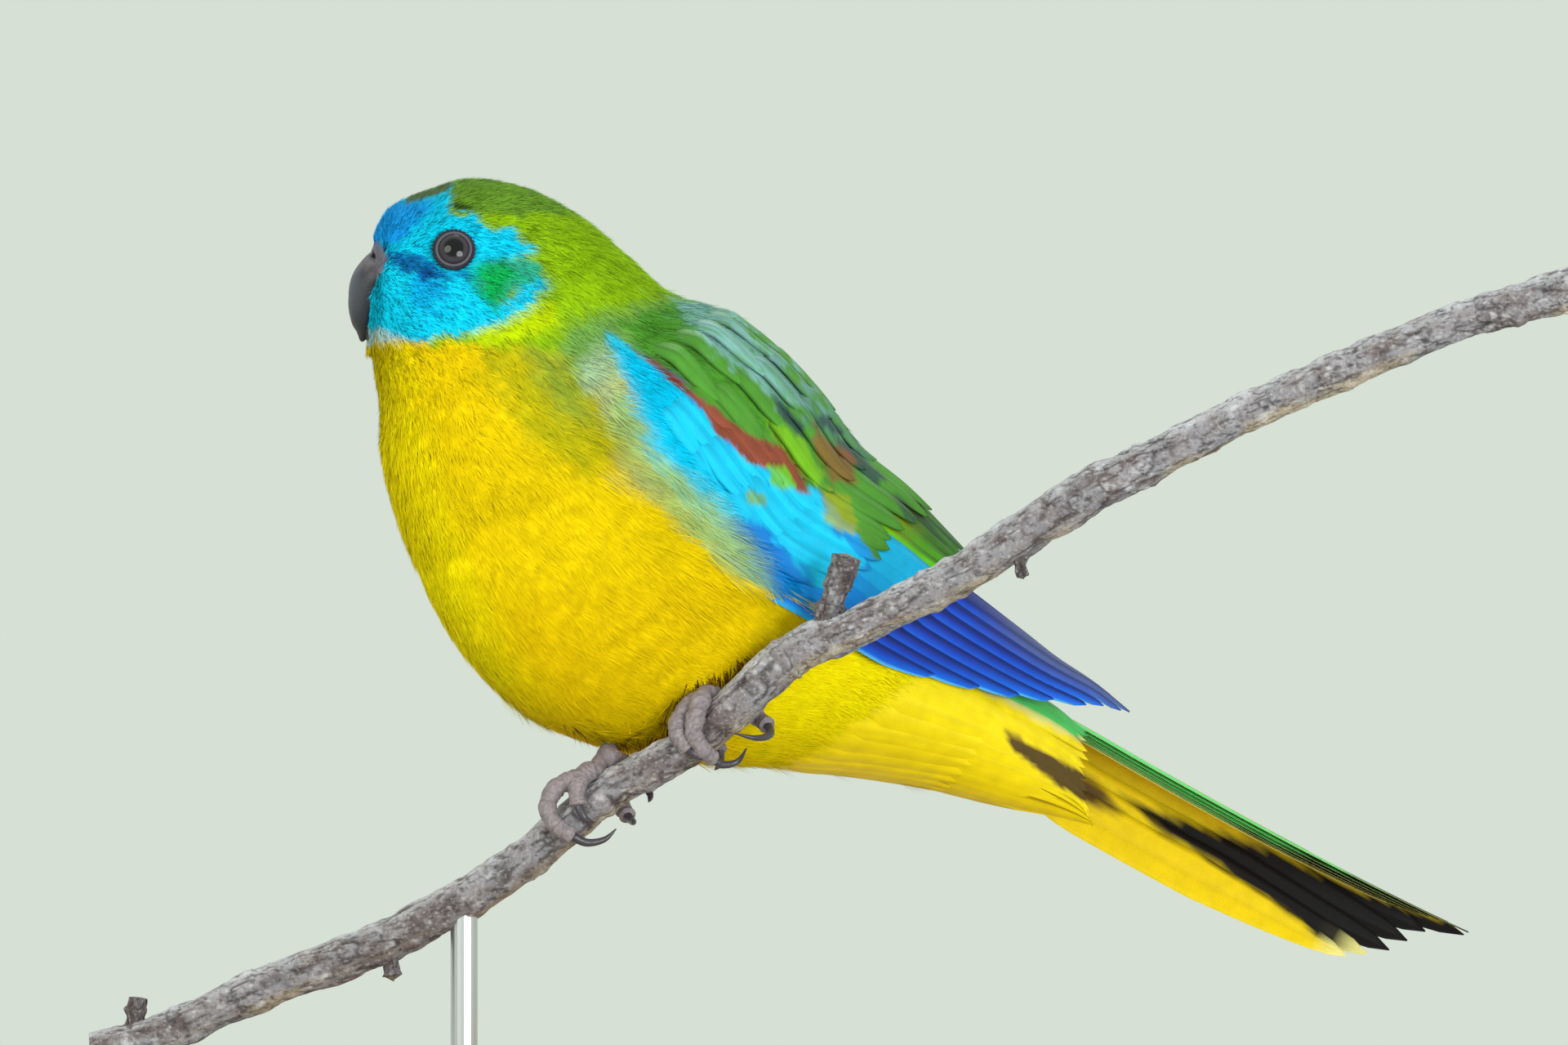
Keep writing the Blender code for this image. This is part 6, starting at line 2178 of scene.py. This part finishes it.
@dataclass
class Foot:
    """One leg and foot: scaly toes, smooth claws."""

    name: str
    toe_radii: Tuple[float, ...] = (1.3, 1.25, 1.15, 1.05)
    claw_radii: Tuple[float, ...] = (0.72, 0.6, 0.42, 0.10)
    toe_grid: Tuple[int, int] = (70, 26)
    claw_grid: Tuple[int, int] = (36, 20)
    leg_grid: Tuple[int, int] = (60, 26)

    @staticmethod
    def around(frame: Frame, place: Sequence[float]) -> Array:
        """The point at (along, angle, out) round the branch.

        Args:
            frame: the branch's point and directions there.
            place: the place round it.
        Returns:
            The point.
        """
        centre, along, up, front = frame
        turn = math.radians(place[1])
        out = up * math.cos(turn) + front * math.sin(turn)
        return centre + along * place[0] + out * place[2]

    def digit(self, frame: Frame, places: Sequence[Sequence[float]],
              radii: Sequence[float], scaly: bool) -> Mesh:
        """Points, faces and tints of a toe or claw.

        Args:
            frame: the branch's point and directions at the foot.
            places: what its middle runs through, round the branch.
            radii: its radii from root to tip.
            scaly: whether it is a toe, not a claw.
        Returns:
            The three arrays.
        """
        rows, sides = self.toe_grid if scaly else self.claw_grid
        steps = np.linspace(0, len(places) - 1, rows)
        fine = spline(np.array(places, dtype=float), steps)
        line = np.array([self.around(frame, place) for place in fine])
        size = spline(np.array(radii)[:, None], steps / steps[-1] * (len(radii) - 1))[:, 0]
        turn = round_turn(sides)
        share = np.linspace(0, 1, rows)[:, None]
        if scaly:
            knobs = 0.14 * np.abs(np.sin(share * math.pi * (len(places) - 0.5)))
            scutes = 0.07 * np.abs(np.sin(share * 34.0 + 0.35 * np.sin(turn[None] * 3.0)))
            ripple = 1.0 + knobs + scutes
        else:
            ripple = np.ones((rows, sides))
        ripple = ripple * np.ones((1, sides))
        points = tube_points(line, size, sides, ripple)
        grain = noise(points, 0.28, 61)
        if scaly:
            middle = np.repeat(np.concatenate((line[:1], line, line[-1:])), sides, axis=0)
            points = points + unit(points - middle) * (0.08 * grain)[:, None]
            colour = rgb(132, 120, 124) * (1 + 0.4 * grain)[:, None]
            seam = np.repeat(np.concatenate((share[:1], share, share[-1:])), sides)
            seam = smooth(0.25, 0.0, np.abs(np.sin(seam * 38.0))) * 0.35
            colour = mix(colour, rgb(84, 72, 74), seam)
        else:
            colour = rgb(66, 60, 68) * (1 + 0.08 * grain)[:, None]
            end = np.repeat(np.concatenate(((0.0,), share[:, 0], (1.0,))), sides)
            colour = mix(colour, rgb(52, 44, 50), smooth(0.4, 1.0, end) * 0.7)
        return points, grid_faces(len(points) // sides, sides, True), colour

    def build(self) -> None:
        """The scaly piece and the claws."""
        data = FEET[self.name]
        frame = Perch.frame(data["at"])
        for label, radii, finish in (("toes", self.toe_radii, "scales"),
                                     ("claws", self.claw_radii, "claw")):
            scaly = label == "toes"
            parts = [self.digit(frame, places, radii, scaly) for places in data[label]]
            if scaly:
                parts.append(self.leg(self.around(frame, data["hub"]), np.array(data["knee"])))
            covers = (f"foot_{self.name}", f"leg_{self.name}") if scaly else ()
            points, faces, tints = joined(parts)
            build_mesh(f"{label}_{self.name}", points, faces, FINISHES[finish], tints,
                       stands_for=covers)

    def leg(self, hub: Array, knee: Array) -> Mesh:
        """Points, faces and tints of the leg with the ball of the foot.

        Args:
            hub: the ball of the foot.
            knee: where the leg enters the feathers.
        Returns:
            The three arrays.
        """
        rows, sides = self.leg_grid
        share = np.linspace(-0.06, 1.0, rows)
        line = hub + (knee - hub) * share[:, None]
        size = 1.0 + np.clip(share, 0, 1) + 0.15 * np.exp(-((share / 0.08) ** 2))
        size = size * (1 + 0.04 * np.abs(np.sin(share * 60)))
        points = tube_points(line, size, sides)
        tint = rgb(130, 118, 122) * (1 + 0.4 * noise(points, 0.35, 62))[:, None]
        return points, grid_faces(len(points) // sides, sides, True), tint


# Lamps: name, place in metres, power in watts, width, colour
LAMPS = (
    ("key", (-1.0, -1.2, 0.8), 13.0, 1.1, (1.0, 0.98, 0.94)),
    ("fill", (0.75, -1.4, 0.04), 23.0, 1.0, (0.92, 0.97, 1.0)),
    ("rim", (0.1, 1.0, 1.2), 10.0, 0.8, (0.96, 0.99, 1.0)),
)


@dataclass
class Studio:
    """Floor, lights, world and camera."""

    floor_radius: float = 0.5
    floor_height: float = -0.0005
    aim: Tuple[float, float, float] = (0.0, 0.0, 0.10)
    backdrop: Colour = (214, 224, 212)
    sensor: float = 36.0
    lens: float = 390.625

    def build(self) -> None:
        """Sets it all up."""
        self.build_floor()
        for row in LAMPS:
            self.lamp(*row)
        self.build_camera()

    def build_floor(self) -> None:
        """A pale round floor."""
        mesh = bpy.data.meshes.new("floor")
        reach = self.floor_radius
        rim = [(reach * math.cos(t), reach * math.sin(t), self.floor_height)
               for t in round_turn(96)]
        mesh.from_pydata(rim, [], [tuple(range(len(rim)))])
        floor = bpy.data.objects.new("floor", mesh)
        bpy.context.scene.collection.objects.link(floor)
        mesh.materials.append(Nodes.material(FINISHES["floor"]))

    def build_camera(self) -> None:
        """The world and the camera, which sees the photo's view."""
        world = bpy.data.worlds.new("studio")
        world.use_nodes = True
        back = world.node_tree.nodes["Background"]
        back.inputs["Color"].default_value = (*rgb(*self.backdrop), 1.0)
        back.inputs["Strength"].default_value = 1.0
        bpy.context.scene.world = world
        data = bpy.data.cameras.new("camera")
        data.lens = self.lens
        data.sensor_width = self.sensor
        data.clip_end = 20.0
        data.clip_start = 0.1
        camera = bpy.data.objects.new("camera", data)
        camera.location = (SHIFT + (0.0, -VIEW_DISTANCE, 0.0)) * MM
        camera.rotation_euler = (math.pi / 2, 0.0, 0.0)
        bpy.context.scene.collection.objects.link(camera)
        bpy.context.scene.camera = camera
        bpy.context.scene.view_settings.view_transform = "Standard"

    def lamp(self, name: str, place: Tuple[float, float, float], power: float, size: float,
             colour: Colour) -> None:
        """A soft round lamp that faces the bird.

        Args:
            name: its name.
            place: where it stands, in metres.
            power: its power in watts.
            size: its width in metres.
            colour: the colour of its light.
        """
        data = bpy.data.lights.new(name, "AREA")
        data.energy = power
        data.shape = "DISK"
        data.size = size
        data.color = colour
        lamp = bpy.data.objects.new(name, data)
        lamp.location = place
        aim = np.array(self.aim) - np.array(place)
        yaw = math.atan2(aim[1], aim[0]) - math.pi / 2
        tilt = math.acos(-aim[2] / np.linalg.norm(aim))
        lamp.rotation_euler = (tilt, 0.0, yaw)
        bpy.context.scene.collection.objects.link(lamp)


def dress_stand(nodes: Dict[str, bpy.types.Object]) -> None:
    """Finishes of the stand's CAD nodes."""
    for name, finish in (("stand_rod", "steel"), ("stand_base", "wood")):
        target = nodes[name]
        target.data.materials.clear()
        target.data.materials.append(Nodes.material(FINISHES[finish]))


def main() -> None:
    """Builds the pieces in order."""
    logging.basicConfig(level=logging.INFO)
    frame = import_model()
    body = Envelope(BODY_SECTIONS, BODY_ANCHOR)
    sheath = Envelope(BODY_SECTIONS[: WING_SPLIT + 1] + WING_SECTIONS, BODY_ANCHOR)
    eyes = Head(body).build()
    markings = Markings(body)
    Plumage(body, markings).build(eyes)
    for name, side in (("left", 1.0), ("right", -1.0)):
        Wing(sheath, name, side, markings).build()
        Foot(name).build()
    tail = Tail(body)
    tail.build_covers(markings)
    tail.build()
    Perch().build()
    dress_stand(frame["nodes"])
    Studio().build()


if __name__ == "__main__":
    main()
